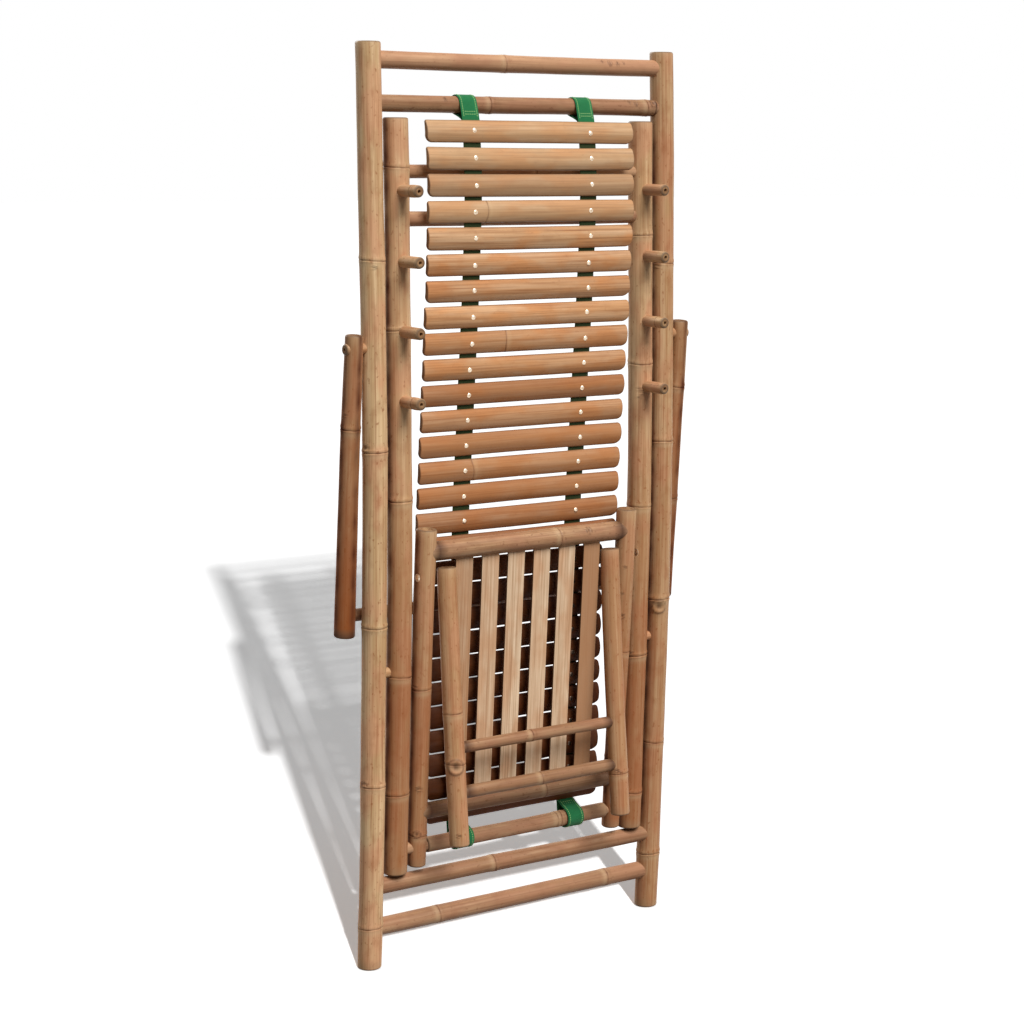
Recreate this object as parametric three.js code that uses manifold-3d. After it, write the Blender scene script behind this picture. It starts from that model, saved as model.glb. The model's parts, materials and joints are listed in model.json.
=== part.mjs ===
// A bamboo folding recliner, standing upright and folded flat. Lengths are in millimetres.
// +Z runs up along the long poles, +X to the right of someone who faces the slats' round side, +Y away from
// them. The origin is on the floor, under the middle of the folded chair.
import * as THREE from "three";
import { mergeVertices } from "three/addons/utils/BufferGeometryUtils.js";
import Module from "manifold-3d";

const wasm = await Module();
wasm.setup();

// Clearances, and counts of facets.
const gap = 0.3;
const runningGap = 0.4;
const slatSeat = 0.5;
const overrun = 4;
const poleSides = 14;
const railSides = 12;
const pinSides = 10;
const bendSteps = 8;

// Bamboo: the ridge at each node, and the worn edge of a cut end.
const ridgeHeight = 0.8;
const ridgeHalfWidth = 5;
const wornEdge = 2;

// The two long back poles stand on the floor and bow forward by bowDepth at half their height.
const poleHeight = 1360;
const bowDepth = 18;
const backPoleX = 261;
const backPoleRadius = 18;
const backPoleNodeShares = [0.08, 0.21, 0.385, 0.575, 0.775];

// Rails of the back frame: the two upper ones hang down from the poles' tops, the foot rails stand up from
// the floor.
const headRailDrop = 25.3;
const headRailZ = poleHeight - headRailDrop;
const headRailRadius = 12.7;
const slingRailDrop = 85.1;
const slingRailZ = poleHeight - slingRailDrop;
const slingRailRadius = 12.3;
const upperFootRailZ = 125;
const upperFootRailRadius = 13;
const lowerFootRailZ = 62;
const lowerFootRailRadius = 13.5;

// The seat frame turns between the back poles on two pins.
const seatSideGap = 5.5;
const seatPoleRadius = 18.5;
const seatPoleX = backPoleX - backPoleRadius - seatSideGap - seatPoleRadius;
const seatPoleAboveRail = 3;
const seatPoleBottomZ = upperFootRailZ + upperFootRailRadius + seatPoleAboveRail;
const seatPoleDrop = 105;
const seatPoleTopZ = poleHeight - seatPoleDrop;
const seatPoleNodeShares = [0.33, 0.56, 0.81];
const pivotZ = 452;
const pivotPinRadius = 8;
const pivotPinDepth = 22;
const upperCrossRailDrop = 76;
const upperCrossRailZ = seatPoleTopZ - upperCrossRailDrop;
const upperCrossRailRadius = 10;
const lowerCrossRailDrop = 143;
const lowerCrossRailZ = seatPoleTopZ - lowerCrossRailDrop;
const lowerCrossRailRadius = 11;

// Four pegs stand out of the front of each seat pole, to hold the stay's rail.
const pegCount = 4;
const topPegDrop = 103;
const topPegZ = seatPoleTopZ - topPegDrop;
const pegPitch = 100;
const pegRadius = 9;
const pegReach = 43.5;
const pegHollowRadius = 3.5;
const pegHollowDepth = 15;

// The front rail ties the seat poles, holds the sling's lower end and is the footrest's hinge rod.
const frontRailAboveEnd = 35.5;
const frontRailZ = seatPoleBottomZ + frontRailAboveEnd;
const frontRailRadius = 12;
const hingeRodRadius = 9;

// The stay hangs outside the back poles, and its rail lies behind all four long poles.
const stayPivotZ = 930;
const stayTopRadius = 13.5;
const stayFootRadius = 16;
const staySideGap = 1.5;
const stayTopReach = 20;
const stayFootReach = 31;
const stayRailDrop = 392;
const stayRailRadius = 9.5;
const stayPegRadius = 8.5;
const stayPegProud = 2;
const stayPegHollowRadius = 3.5;
const stayPegHollowDepth = 12;
const stayNodeShares = [0.17, 0.36];

// The footrest lies folded up in front of the sling. Its heights are measured along it from the hinge.
const footrestTilt = THREE.MathUtils.degToRad(3.1);
const footrestSideGap = 1.5;
const footrestTopRadius = 16;
const footrestPoleX = seatPoleX - seatPoleRadius - footrestSideGap - footrestTopRadius;
const footrestFootRadius = 14.3;
const footrestPoleTop = 488;
const footrestPoleFoot = 29.5;
const footrestTopRailDrop = 34;
const footrestTopRailAt = footrestPoleTop - footrestTopRailDrop;
const footrestTopRailRadius = 15;
const footrestBottomRailAt = 54.6;
const footrestBottomRailRadius = 12.5;
const footrestBottomRailForward = 3;
const footrestTenonRadius = 9;
const footrestNodeShares = [0.12, 0.53];
const footrestSlatCount = 6;
const footrestSlatWidth = 30;
const footrestSlatThick = 6;
const footrestSlatEdge = 4;
const mortiseDepth = 5;
const footrestSlatY = -footrestBottomRailForward / 2;
const footrestSlatSideGap = 2.7;

// The footrest's own leg, folded down in front of the footrest.
const legPivotDrop = 36;
const legPivotAt = footrestTopRailAt - legPivotDrop;
const legPivotForward = 7;
const legTilt = THREE.MathUtils.degToRad(5.3);
const legSideGap = 2.6;
const legPoleRadius = 15;
const legPoleX = footrestPoleX - footrestTopRadius - legSideGap - legPoleRadius;
const legTopReach = 11;
const legLength = 406;
const legNodeShares = [0.28, 0.67];
const legUpperRailAboveFoot = 147;
const legUpperRailAt = legLength - legUpperRailAboveFoot;
const legUpperRailRadius = 9;
const legLowerRailAboveFoot = 79.5;
const legLowerRailAt = legLength - legLowerRailAboveFoot;
const legLowerRailRadius = 10;
const legPinRadius = 3;
const legPinHeadRadius = 6;
const legPinHeadThick = 2;

// The sling: half-round slats on two straps.
const slatCount = 28;
const longSlatCount = 17;
const firstSlatDrop = 38.9;
const firstSlatZ = slingRailZ - firstSlatDrop;
const lastSlatRise = 42.6;
const lastSlatZ = frontRailZ + lastSlatRise;
const shortPitchShare = 0.973;
const longSlatPitch =
  (firstSlatZ - lastSlatZ) / (longSlatCount + (slatCount - longSlatCount - 1) * shortPitchShare);
const shortSlatPitch = longSlatPitch * shortPitchShare;
const longSlatSideGap = 17.5;
const longSlatLength = 2 * (seatPoleX - seatPoleRadius - longSlatSideGap);
const shortSlatSideGap = 9;
const shortSlatLength = 2 * (footrestPoleX - footrestTopRadius - shortSlatSideGap);
const slatHeight = 32.6;
const slatThick = 8;
const slatEdge = 2.2;
const slatCornerRadius = 10;
const slatArcSteps = 4;
const cornerSteps = 2;
const strapX = 103;
const strapWidth = 30;
const strapThick = 1.6;
const strapTail = 16;
const loopStep = THREE.MathUtils.degToRad(18);

// How far the straps lie in front of the poles' own plane at most, and behind it, where they just clear the
// stay's rail. Each pair is the number of a slat and a share: below zero of slingForward, above zero of
// slingBehind.
const slingForward = 23.5;
const slingBehind = Math.max(backPoleRadius, seatPoleRadius) - strapThick / 2 - 2 * gap;
const slingShares = [
  [1, -0.87],
  [3, -1],
  [7, -0.55],
  [11, 0.05],
  [16, 0.9],
  [19, 1],
  [28, 1],
];
const slingSteps = 26;

const sides = [
  ["left", -1],
  ["right", 1],
];

const finishes = {
  pole: new THREE.MeshStandardMaterial({ color: 0xc0966a, roughness: 0.5, metalness: 0 }),
  rail: new THREE.MeshStandardMaterial({ color: 0xa5805c, roughness: 0.55, metalness: 0 }),
  slat: new THREE.MeshStandardMaterial({ color: 0xb07d4e, roughness: 0.5, metalness: 0 }),
  pith: new THREE.MeshStandardMaterial({ color: 0xc8aa82, roughness: 0.8, metalness: 0 }),
  webbing: new THREE.MeshStandardMaterial({ color: 0x3c8c55, roughness: 0.9, metalness: 0 }),
};

// The long poles and everything in their plane follow one shallow curve.
function bow(z) {
  const middle = poleHeight / 2;
  return -bowDepth * (1 - ((z - middle) / middle) ** 2);
}

// A closed three.js geometry as a manifold-3d solid.
function solid(geometry) {
  const bare = geometry.clone();
  bare.deleteAttribute("normal");
  bare.deleteAttribute("uv");
  const merged = mergeVertices(bare);
  const index = merged.index.array;
  const triVerts = [];
  for (let i = 0; i < index.length; i += 3) {
    const [a, b, c] = [index[i], index[i + 1], index[i + 2]];
    if (a !== b && b !== c && c !== a) triVerts.push(a, b, c);
  }
  return new wasm.Manifold(
    new wasm.Mesh({
      numProp: 3,
      vertProperties: merged.attributes.position.array,
      triVerts: new Uint32Array(triVerts),
    }),
  );
}

function meshOf(name, made, finish) {
  const { vertProperties, triVerts } = made.getMesh();
  const geometry = new THREE.BufferGeometry()
    .setAttribute("position", new THREE.BufferAttribute(new Float32Array(vertProperties), 3))
    .setIndex(new THREE.BufferAttribute(new Uint32Array(triVerts), 1));
  geometry.computeVertexNormals();
  const mesh = new THREE.Mesh(geometry, finish);
  mesh.name = name;
  return mesh;
}

function joined(solids) {
  return solids.reduce((whole, piece) => whole.add(piece));
}

function cutBy(whole, cutters) {
  return cutters.reduce((left, cutter) => left.subtract(cutter), whole);
}

// A length of bamboo along +Z from z = 0 to z = length, with a ridge at each node and worn cut ends.
function culm({ length, low, high = low, nodeShares = [], steps = 1, facets = poleSides }) {
  const radiusAt = (z) => low + (high - low) * (z / length);
  const nodes = nodeShares.map((share) => share * length);
  const rings = nodes.flatMap((z) => [
    [radiusAt(z), z - ridgeHalfWidth],
    [radiusAt(z) + ridgeHeight, z],
    [radiusAt(z), z + ridgeHalfWidth],
  ]);
  for (let i = 1; i < steps; i += 1) {
    const z = (length * i) / steps;
    if (nodes.every((node) => Math.abs(node - z) > 2 * ridgeHalfWidth)) rings.push([radiusAt(z), z]);
  }
  rings.sort((a, b) => a[1] - b[1]);
  const profile = [
    [0, 0],
    [low - wornEdge, 0],
    [low, wornEdge],
    ...rings,
    [high, length - wornEdge],
    [high - wornEdge, length],
    [0, length],
  ].map(([radius, z]) => new THREE.Vector2(radius, z));
  return new THREE.LatheGeometry(profile, facets).rotateX(Math.PI / 2);
}

// A plain round bar along +Z, for pins and for the holes that they and the rails sit in.
function bar(length, radius, facets) {
  return new THREE.CylinderGeometry(radius, radius, length, facets)
    .rotateX(Math.PI / 2)
    .translate(0, 0, length / 2);
}

function alongX(geometry, x, y, z) {
  return geometry.rotateY(Math.PI / 2).translate(x, y, z);
}

// A bar across the chair from x = from to x = to, on the axis at y and z.
function crossBar(from, to, radius, y, z, facets = railSides) {
  const low = Math.min(from, to);
  return solid(alongX(bar(Math.abs(to - from), radius, facets), low, y, z));
}

// A faceted hole needs this radius for a round bar to turn in it.
function bore(radius, clearance, facets = railSides) {
  return (radius + clearance) / Math.cos(Math.PI / facets);
}

function bend(geometry) {
  const at = geometry.attributes.position;
  for (let i = 0; i < at.count; i += 1) at.setY(i, at.getY(i) + bow(at.getZ(i)));
  return geometry;
}

// A rail from pole to pole. Its ends lie in sockets that reach each pole's middle.
function rail(name, { y, z, radius, reach, nodeShares }) {
  const length = 2 * (reach - gap);
  const shape = culm({ length, low: radius, nodeShares, facets: railSides });
  return meshOf(name, solid(alongX(shape, -length / 2, y, z)), finishes.rail);
}

// The socket of a rail in the pole at x, open towards the middle of the chair.
function socket(x, radius, y, z) {
  return crossBar(x, 0, bore(radius, gap), y, z);
}

function backPole(name, side) {
  const x = side * backPoleX;
  const shape = culm({
    length: poleHeight,
    low: backPoleRadius,
    nodeShares: backPoleNodeShares,
    steps: bendSteps,
  }).translate(x, 0, 0);
  const rails = [
    [headRailZ, headRailRadius],
    [slingRailZ, slingRailRadius],
    [upperFootRailZ, upperFootRailRadius],
    [lowerFootRailZ, lowerFootRailRadius],
  ];
  const inner = x - side * backPoleRadius;
  const outer = x + side * backPoleRadius;
  const pinBore = crossBar(
    inner - side * overrun,
    inner + side * pivotPinDepth,
    bore(pivotPinRadius, gap),
    bow(pivotZ),
    pivotZ,
  );
  const pegBore = crossBar(
    x,
    outer + side * overrun,
    bore(stayPegRadius, runningGap),
    bow(stayPivotZ),
    stayPivotZ,
  );
  const cutters = rails.map(([z, radius]) => socket(x, radius, bow(z), z));
  return meshOf(name, cutBy(solid(bend(shape)), [...cutters, pinBore, pegBore]), finishes.pole);
}

// The pin that joins a back pole to the seat pole beside it.
function pivotPin(name, side) {
  const outerEnd = backPoleX - backPoleRadius + pivotPinDepth - gap;
  const innerEnd = seatPoleX + seatPoleRadius - pivotPinDepth + gap;
  return meshOf(
    name,
    crossBar(side * innerEnd, side * outerEnd, pivotPinRadius, bow(pivotZ), pivotZ),
    finishes.pole,
  );
}

function backFrame() {
  const frame = new THREE.Group();
  for (const [side, sign] of sides) {
    frame.add(backPole("back_pole_" + side, sign));
    frame.add(pivotPin("pivot_pin_" + side, sign));
  }
  const rails = [
    ["head_rail", headRailZ, headRailRadius, [0.48]],
    ["sling_top_rail", slingRailZ, slingRailRadius, [0.42]],
    ["foot_rail_upper", upperFootRailZ, upperFootRailRadius, [0.45]],
    ["foot_rail_lower", lowerFootRailZ, lowerFootRailRadius, [0.22, 0.86]],
  ];
  for (const [name, z, radius, nodeShares] of rails) {
    frame.add(rail(name, { y: bow(z), z, radius, reach: backPoleX, nodeShares }));
  }
  return frame;
}

// A peg out of the front of a seat pole: it starts at the pole's middle, and its tip is a hollow cut end.
function stopPeg(x, z) {
  const reach = seatPoleRadius + pegReach;
  const shape = bar(reach, pegRadius, pinSides).rotateX(Math.PI / 2);
  const hollow = bar(pegHollowDepth + overrun, pegHollowRadius, pinSides)
    .translate(0, 0, reach - pegHollowDepth)
    .rotateX(Math.PI / 2);
  return solid(shape.translate(x, bow(z), z)).subtract(solid(hollow.translate(x, bow(z), z)));
}

function seatPole(name, side) {
  const x = side * seatPoleX;
  const shape = culm({
    length: seatPoleTopZ - seatPoleBottomZ,
    low: seatPoleRadius,
    nodeShares: seatPoleNodeShares,
    steps: bendSteps,
  }).translate(x, 0, seatPoleBottomZ);
  const pegs = Array.from({ length: pegCount }, (_, i) => stopPeg(x, topPegZ - i * pegPitch));
  const outer = x + side * seatPoleRadius;
  const pinBore = crossBar(
    outer + side * overrun,
    outer - side * pivotPinDepth,
    bore(pivotPinRadius, runningGap),
    bow(pivotZ),
    pivotZ,
  );
  const cutters = [
    [upperCrossRailZ, upperCrossRailRadius],
    [lowerCrossRailZ, lowerCrossRailRadius],
    [frontRailZ, hingeRodRadius],
  ].map(([z, radius]) => socket(x, radius, bow(z), z));
  const pole = joined([solid(bend(shape)), ...pegs]);
  return meshOf(name, cutBy(pole, [...cutters, pinBore]), finishes.pole);
}

// The front rail is full size between the footrest's poles, and a thinner rod through them.
function frontRail() {
  const half = footrestPoleX - footrestFootRadius - ridgeHeight - gap;
  const shape = culm({ length: 2 * half, low: frontRailRadius, nodeShares: [0.68], facets: railSides });
  const y = bow(frontRailZ);
  const body = solid(alongX(shape, -half, y, frontRailZ));
  const rod = crossBar(gap - seatPoleX, seatPoleX - gap, hingeRodRadius, y, frontRailZ);
  return meshOf("front_rail", joined([body, rod]), finishes.rail);
}

function seatFrame() {
  const frame = new THREE.Group();
  for (const [side, sign] of sides) frame.add(seatPole("seat_pole_" + side, sign));
  const rails = [
    ["seat_cross_rail_upper", upperCrossRailZ, upperCrossRailRadius],
    ["seat_cross_rail_lower", lowerCrossRailZ, lowerCrossRailRadius],
  ];
  for (const [name, z, radius] of rails) {
    frame.add(rail(name, { y: bow(z), z, radius, reach: seatPoleX, nodeShares: [0.5] }));
  }
  frame.add(frontRail());
  return frame;
}

// The stay is built hanging straight down from its pivot, then leant back until its rail clears the poles.
function stay() {
  const railZ = stayPivotZ - stayRailDrop;
  const behind = Math.max(backPoleRadius, seatPoleRadius) + gap + stayRailRadius;
  const lean = Math.atan2(bow(railZ) + behind - bow(stayPivotZ), stayRailDrop);
  const railAt = stayRailDrop / Math.cos(lean);
  const length = stayTopReach + railAt + stayFootReach;
  const poleX = backPoleX + backPoleRadius + staySideGap + stayTopRadius;
  const frame = new THREE.Group();
  for (const [side, sign] of sides) {
    const shape = culm({
      length,
      low: stayFootRadius,
      high: stayTopRadius,
      nodeShares: stayNodeShares.map((share) => 1 - share),
    }).translate(sign * poleX, 0, stayTopReach - length);
    const pegEnd = poleX + stayTopRadius + stayPegProud;
    const peg = crossBar(sign * (backPoleX + gap), sign * pegEnd, stayPegRadius, 0, 0);
    const hollow = crossBar(
      sign * (pegEnd - stayPegHollowDepth),
      sign * (pegEnd + overrun),
      stayPegHollowRadius,
      0,
      0,
    );
    const cutters = [hollow, socket(sign * poleX, stayRailRadius, 0, -railAt)];
    const pole = cutBy(joined([solid(shape), peg]), cutters);
    frame.add(meshOf("stay_pole_" + side, pole, finishes.pole));
  }
  const stayRail = { y: 0, z: -railAt, radius: stayRailRadius, reach: poleX, nodeShares: [0.3, 0.7] };
  frame.add(rail("stay_rail", stayRail));
  frame.position.set(0, bow(stayPivotZ), stayPivotZ);
  frame.rotation.x = lean;
  return frame;
}

// A strip of split bamboo along +X: flat at y = 0, round towards -Y.
function strip({ length, height, thick, edge }) {
  const crown = thick - edge;
  const radius = (height ** 2 / 4 + crown ** 2) / (2 * crown);
  const halfAngle = Math.asin(height / 2 / radius);
  const shape = new THREE.Shape();
  shape.moveTo(-height / 2, 0);
  shape.absarc(0, thick - radius, radius, Math.PI / 2 + halfAngle, Math.PI / 2 - halfAngle, true);
  shape.lineTo(height / 2, 0);
  const depth = { depth: length, bevelEnabled: false, curveSegments: slatArcSteps };
  const turn = new THREE.Matrix4().makeBasis(
    new THREE.Vector3(0, 0, 1),
    new THREE.Vector3(0, -1, 0),
    new THREE.Vector3(1, 0, 0),
  );
  return new THREE.ExtrudeGeometry(shape, depth).applyMatrix4(turn).translate(-length / 2, 0, 0);
}

// A rounded rectangle in X and Z that stands for the outline of a slat, as deep as its thickness.
function outlineBlock(length, height, radius, thick) {
  const shape = new THREE.Shape();
  const [x, y] = [length / 2 - radius, height / 2 - radius];
  shape.absarc(x, y, radius, 0, Math.PI / 2);
  shape.absarc(-x, y, radius, Math.PI / 2, Math.PI);
  shape.absarc(-x, -y, radius, Math.PI, 1.5 * Math.PI);
  shape.absarc(x, -y, radius, 1.5 * Math.PI, 2 * Math.PI);
  const depth = { depth: thick + 2 * overrun, bevelEnabled: false, curveSegments: cornerSteps };
  return new THREE.ExtrudeGeometry(shape, depth).rotateX(Math.PI / 2).translate(0, overrun, 0);
}

function slatZ(number) {
  const long = Math.min(number, longSlatCount) - 1;
  const changeover = number > longSlatCount ? 1 : 0;
  const short = Math.max(number - longSlatCount - 1, 0);
  return firstSlatZ - (long + changeover) * longSlatPitch - short * shortSlatPitch;
}

// The middle of the straps, as y and z, from the first slat down to the last.
const slingPoints = new THREE.SplineCurve(
  slingShares.map(([number, share]) => {
    const z = slatZ(number);
    return new THREE.Vector2(bow(z) + share * (share < 0 ? slingForward : slingBehind), z);
  }),
).getPoints(slingSteps);

// How far back the straps' middle is at height z.
function slingY(z) {
  const found = slingPoints.findIndex((point) => point.y < z);
  const last = slingPoints.length - 1;
  const below = found < 0 ? last : Math.max(found, 1);
  const [high, low] = [slingPoints[below - 1], slingPoints[below]];
  return THREE.MathUtils.lerp(high.x, low.x, (high.y - z) / (high.y - low.y));
}

function slingSlat(number) {
  const length = number > longSlatCount ? shortSlatLength : longSlatLength;
  const round = solid(strip({ length, height: slatHeight, thick: slatThick, edge: slatEdge }));
  const block = solid(outlineBlock(length, slatHeight, slatCornerRadius, slatThick));
  const name = "sling_slat_" + String(number).padStart(2, "0");
  const mesh = meshOf(name, round.intersect(block), finishes.slat);
  const z = slatZ(number);
  const [above, below] = [slingY(z + slatHeight / 2), slingY(z - slatHeight / 2)];
  mesh.position.set(0, (above + below) / 2 - strapThick / 2 - slatSeat, z);
  mesh.rotation.x = Math.atan2(below - above, slatHeight);
  return mesh;
}

// A flat band of the given path in the Y-Z plane, as wide as the strap.
function band(path) {
  const offsets = path.map((point, i) => {
    const before = path[Math.max(i - 1, 0)];
    const after = path[Math.min(i + 1, path.length - 1)];
    const into = point.clone().sub(before).normalize();
    const out = after.clone().sub(point).normalize();
    const along = into.clone().add(out).normalize();
    const bisect = i === 0 || i === path.length - 1 ? 1 : along.dot(out);
    return new THREE.Vector2(-along.y, along.x).multiplyScalar(strapThick / 2 / bisect);
  });
  const outline = [
    ...path.map((point, i) => point.clone().add(offsets[i])),
    ...path.map((point, i) => point.clone().sub(offsets[i])).reverse(),
  ];
  const turn = new THREE.Matrix4().makeBasis(
    new THREE.Vector3(0, 1, 0),
    new THREE.Vector3(0, 0, 1),
    new THREE.Vector3(1, 0, 0),
  );
  const depth = { depth: strapWidth, bevelEnabled: false };
  return new THREE.ExtrudeGeometry(new THREE.Shape(outline), depth)
    .applyMatrix4(turn)
    .translate(-strapWidth / 2, 0, 0);
}

// A loop round a rail, over its top and front, between two straight runs that touch it. Angle 0 is behind
// the rail and a quarter turn is above it.
function loop(z, railRadius, runIn, runOut) {
  const radius = (railRadius + gap) / Math.cos(loopStep / 2) + strapThick / 2;
  const centre = new THREE.Vector2(bow(z), z);
  const touch = (point, turn) => {
    const arm = point.clone().sub(centre);
    return Math.atan2(arm.y, arm.x) + turn * Math.acos(radius / arm.length());
  };
  const from = touch(runIn, 1);
  let to = touch(runOut, -1);
  while (to < from) to += 2 * Math.PI;
  const steps = Math.round((to - from) / loopStep);
  return Array.from({ length: steps + 1 }, (_, i) => {
    const angle = from + ((to - from) * i) / steps;
    return new THREE.Vector2(Math.cos(angle), Math.sin(angle)).multiplyScalar(radius).add(centre);
  });
}

// Each strap's ends are turned round a rail and sewn to its own back.
function strap(name, side) {
  const behind = strapThick + gap;
  const [topZ, lastZ] = [slatZ(1) + slatHeight / 2 + gap, slatZ(slatCount) - slatHeight / 2 - gap];
  const topRun = new THREE.Vector2(slingY(topZ), topZ);
  const lastRun = new THREE.Vector2(slingY(lastZ), lastZ);
  const tailPoint = (z) => new THREE.Vector2(slingY(z) + behind, z);
  const path = [
    tailPoint(topZ - strapTail),
    tailPoint(topZ),
    ...loop(slingRailZ, slingRailRadius, tailPoint(topZ), topRun),
    topRun,
    ...slingPoints,
    lastRun,
    ...loop(frontRailZ, frontRailRadius, lastRun, tailPoint(lastZ)),
    tailPoint(lastZ),
    tailPoint(lastZ + strapTail),
  ];
  const mesh = meshOf(name, solid(band(path)), finishes.webbing);
  mesh.position.x = side * strapX;
  return mesh;
}

function sling() {
  const group = new THREE.Group();
  for (let number = 1; number <= slatCount; number += 1) group.add(slingSlat(number));
  for (const [side, sign] of sides) group.add(strap("sling_strap_" + side, sign));
  return group;
}

// A footrest pole turns on the front rail's rod and carries the leg's pin.
function footrestPole(name, side) {
  const x = side * footrestPoleX;
  const length = footrestPoleTop + footrestPoleFoot;
  const shape = culm({
    length,
    low: footrestFootRadius,
    high: footrestTopRadius,
    nodeShares: footrestNodeShares,
  }).translate(x, 0, -footrestPoleFoot);
  const half = footrestTopRadius + overrun;
  const cutters = [
    crossBar(x - half, x + half, bore(hingeRodRadius, runningGap), 0, 0),
    crossBar(x - half, x + half, bore(legPinRadius, runningGap), -legPivotForward, legPivotAt),
    socket(x, footrestTenonRadius, 0, footrestTopRailAt),
    socket(x, footrestTenonRadius, -footrestBottomRailForward, footrestBottomRailAt),
  ];
  return meshOf(name, cutBy(solid(shape), cutters), finishes.pole);
}

// A footrest rail: its ends are hollowed to the poles' round sides, with a thinner tenon into each pole, and
// its inner side has a mortise for each slat.
function footrestRail(name, { at, y, radius, slatEnd }) {
  const length = 2 * footrestPoleX;
  const shape = culm({ length, low: radius, nodeShares: [0.62], facets: railSides });
  const body = solid(alongX(shape, -length / 2, y, at));
  const poleCut = (side) => {
    const poleRadius = bore(footrestTopRadius, ridgeHeight, poleSides);
    const cutter = bar(2 * (radius + overrun), poleRadius, poleSides);
    return solid(cutter.translate(side * footrestPoleX, 0, at - radius - overrun));
  };
  const tenon = crossBar(gap - footrestPoleX, footrestPoleX - gap, footrestTenonRadius, y, at);
  const mortises = footrestSlatPlaces().map((x) =>
    solid(
      new THREE.BoxGeometry(
        footrestSlatWidth + 2 * gap,
        footrestSlatThick + 2 * gap,
        2 * (mortiseDepth + gap),
      ).translate(x, footrestSlatY, slatEnd),
    ),
  );
  const whole = joined([cutBy(body, [poleCut(-1), poleCut(1)]), tenon]);
  return meshOf(name, cutBy(whole, mortises), finishes.rail);
}

// The slats are spread evenly between the two leg poles.
function footrestSlatPlaces() {
  const last = legPoleX - legPoleRadius - footrestSlatSideGap - footrestSlatWidth / 2;
  const share = (i) => (2 * i) / (footrestSlatCount - 1) - 1;
  return Array.from({ length: footrestSlatCount }, (_, i) => share(i) * last);
}

function footrestLeg() {
  const leg = new THREE.Group();
  for (const [side, sign] of sides) {
    const x = sign * legPoleX;
    const shape = culm({
      length: legTopReach + legLength,
      low: legPoleRadius,
      nodeShares: legNodeShares.map((share) => 1 - share),
    }).translate(x, 0, -legLength);
    const headAt = footrestPoleX + footrestTopRadius + ridgeHeight + gap;
    const pin = crossBar(x, sign * headAt, legPinRadius, 0, 0);
    const head = crossBar(sign * headAt, sign * (headAt + legPinHeadThick), legPinHeadRadius, 0, 0);
    const pole = cutBy(joined([solid(shape), pin, head]), [
      socket(x, legUpperRailRadius, 0, -legUpperRailAt),
      socket(x, legLowerRailRadius, 0, -legLowerRailAt),
    ]);
    leg.add(meshOf("leg_pole_" + side, pole, finishes.pole));
  }
  const rails = [
    ["leg_rail_upper", legUpperRailAt, legUpperRailRadius, [0.56]],
    ["leg_rail_lower", legLowerRailAt, legLowerRailRadius, [0.61]],
  ];
  for (const [name, at, radius, nodeShares] of rails) {
    leg.add(rail(name, { y: 0, z: -at, radius, reach: legPoleX, nodeShares }));
  }
  leg.position.set(0, -legPivotForward, legPivotAt);
  leg.rotation.x = -legTilt - footrestTilt;
  return leg;
}

function footrest() {
  const frame = new THREE.Group();
  const slatLow = footrestBottomRailAt + footrestBottomRailRadius * Math.cos(Math.PI / railSides);
  const slatHigh = footrestTopRailAt - footrestTopRailRadius * Math.cos(Math.PI / railSides);
  for (const [side, sign] of sides) frame.add(footrestPole("footrest_pole_" + side, sign));
  const topRail = { at: footrestTopRailAt, y: 0, radius: footrestTopRailRadius, slatEnd: slatHigh };
  const bottomRail = {
    at: footrestBottomRailAt,
    y: -footrestBottomRailForward,
    radius: footrestBottomRailRadius,
    slatEnd: slatLow,
  };
  frame.add(footrestRail("footrest_top_rail", topRail));
  frame.add(footrestRail("footrest_bottom_rail", bottomRail));
  footrestSlatPlaces().forEach((x, i) => {
    const shape = strip({
      length: slatHigh - slatLow + 2 * mortiseDepth,
      height: footrestSlatWidth,
      thick: footrestSlatThick,
      edge: footrestSlatEdge,
    });
    shape.rotateZ(Math.PI).rotateY(Math.PI / 2);
    shape.translate(x, footrestSlatY - footrestSlatThick / 2, (slatLow + slatHigh) / 2);
    frame.add(meshOf("footrest_slat_" + (i + 1), solid(shape), finishes.pith));
  });
  frame.add(footrestLeg());
  frame.position.set(0, bow(frontRailZ), frontRailZ);
  frame.rotation.x = footrestTilt;
  return frame;
}

const recliner = new THREE.Group();
recliner.add(backFrame(), seatFrame(), stay(), sling(), footrest());

// The origin is set under the middle of the folded chair.
recliner.updateMatrixWorld(true);
const depthRange = new THREE.Box3().setFromObject(recliner, true);
recliner.position.y = -(depthRange.min.y + depthRange.max.y) / 2;

export default recliner;
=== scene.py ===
# %% [markdown]
# # A bamboo folding recliner, folded flat and standing on its back poles
#
# This file dresses the chair. The frame that it loads holds every piece at its real size, with plain
# faceted solids that carry the joints. Here each of them gets the skin of a real piece of bamboo: node
# rings, branch scars, worn cut ends, straight fibres and its own tone. The sling's webbing, its rivets
# and its stitches are made here too.

# %% Load the frame
import json
import math

import bpy
import numpy as np
from mathutils import Matrix, Vector


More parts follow.
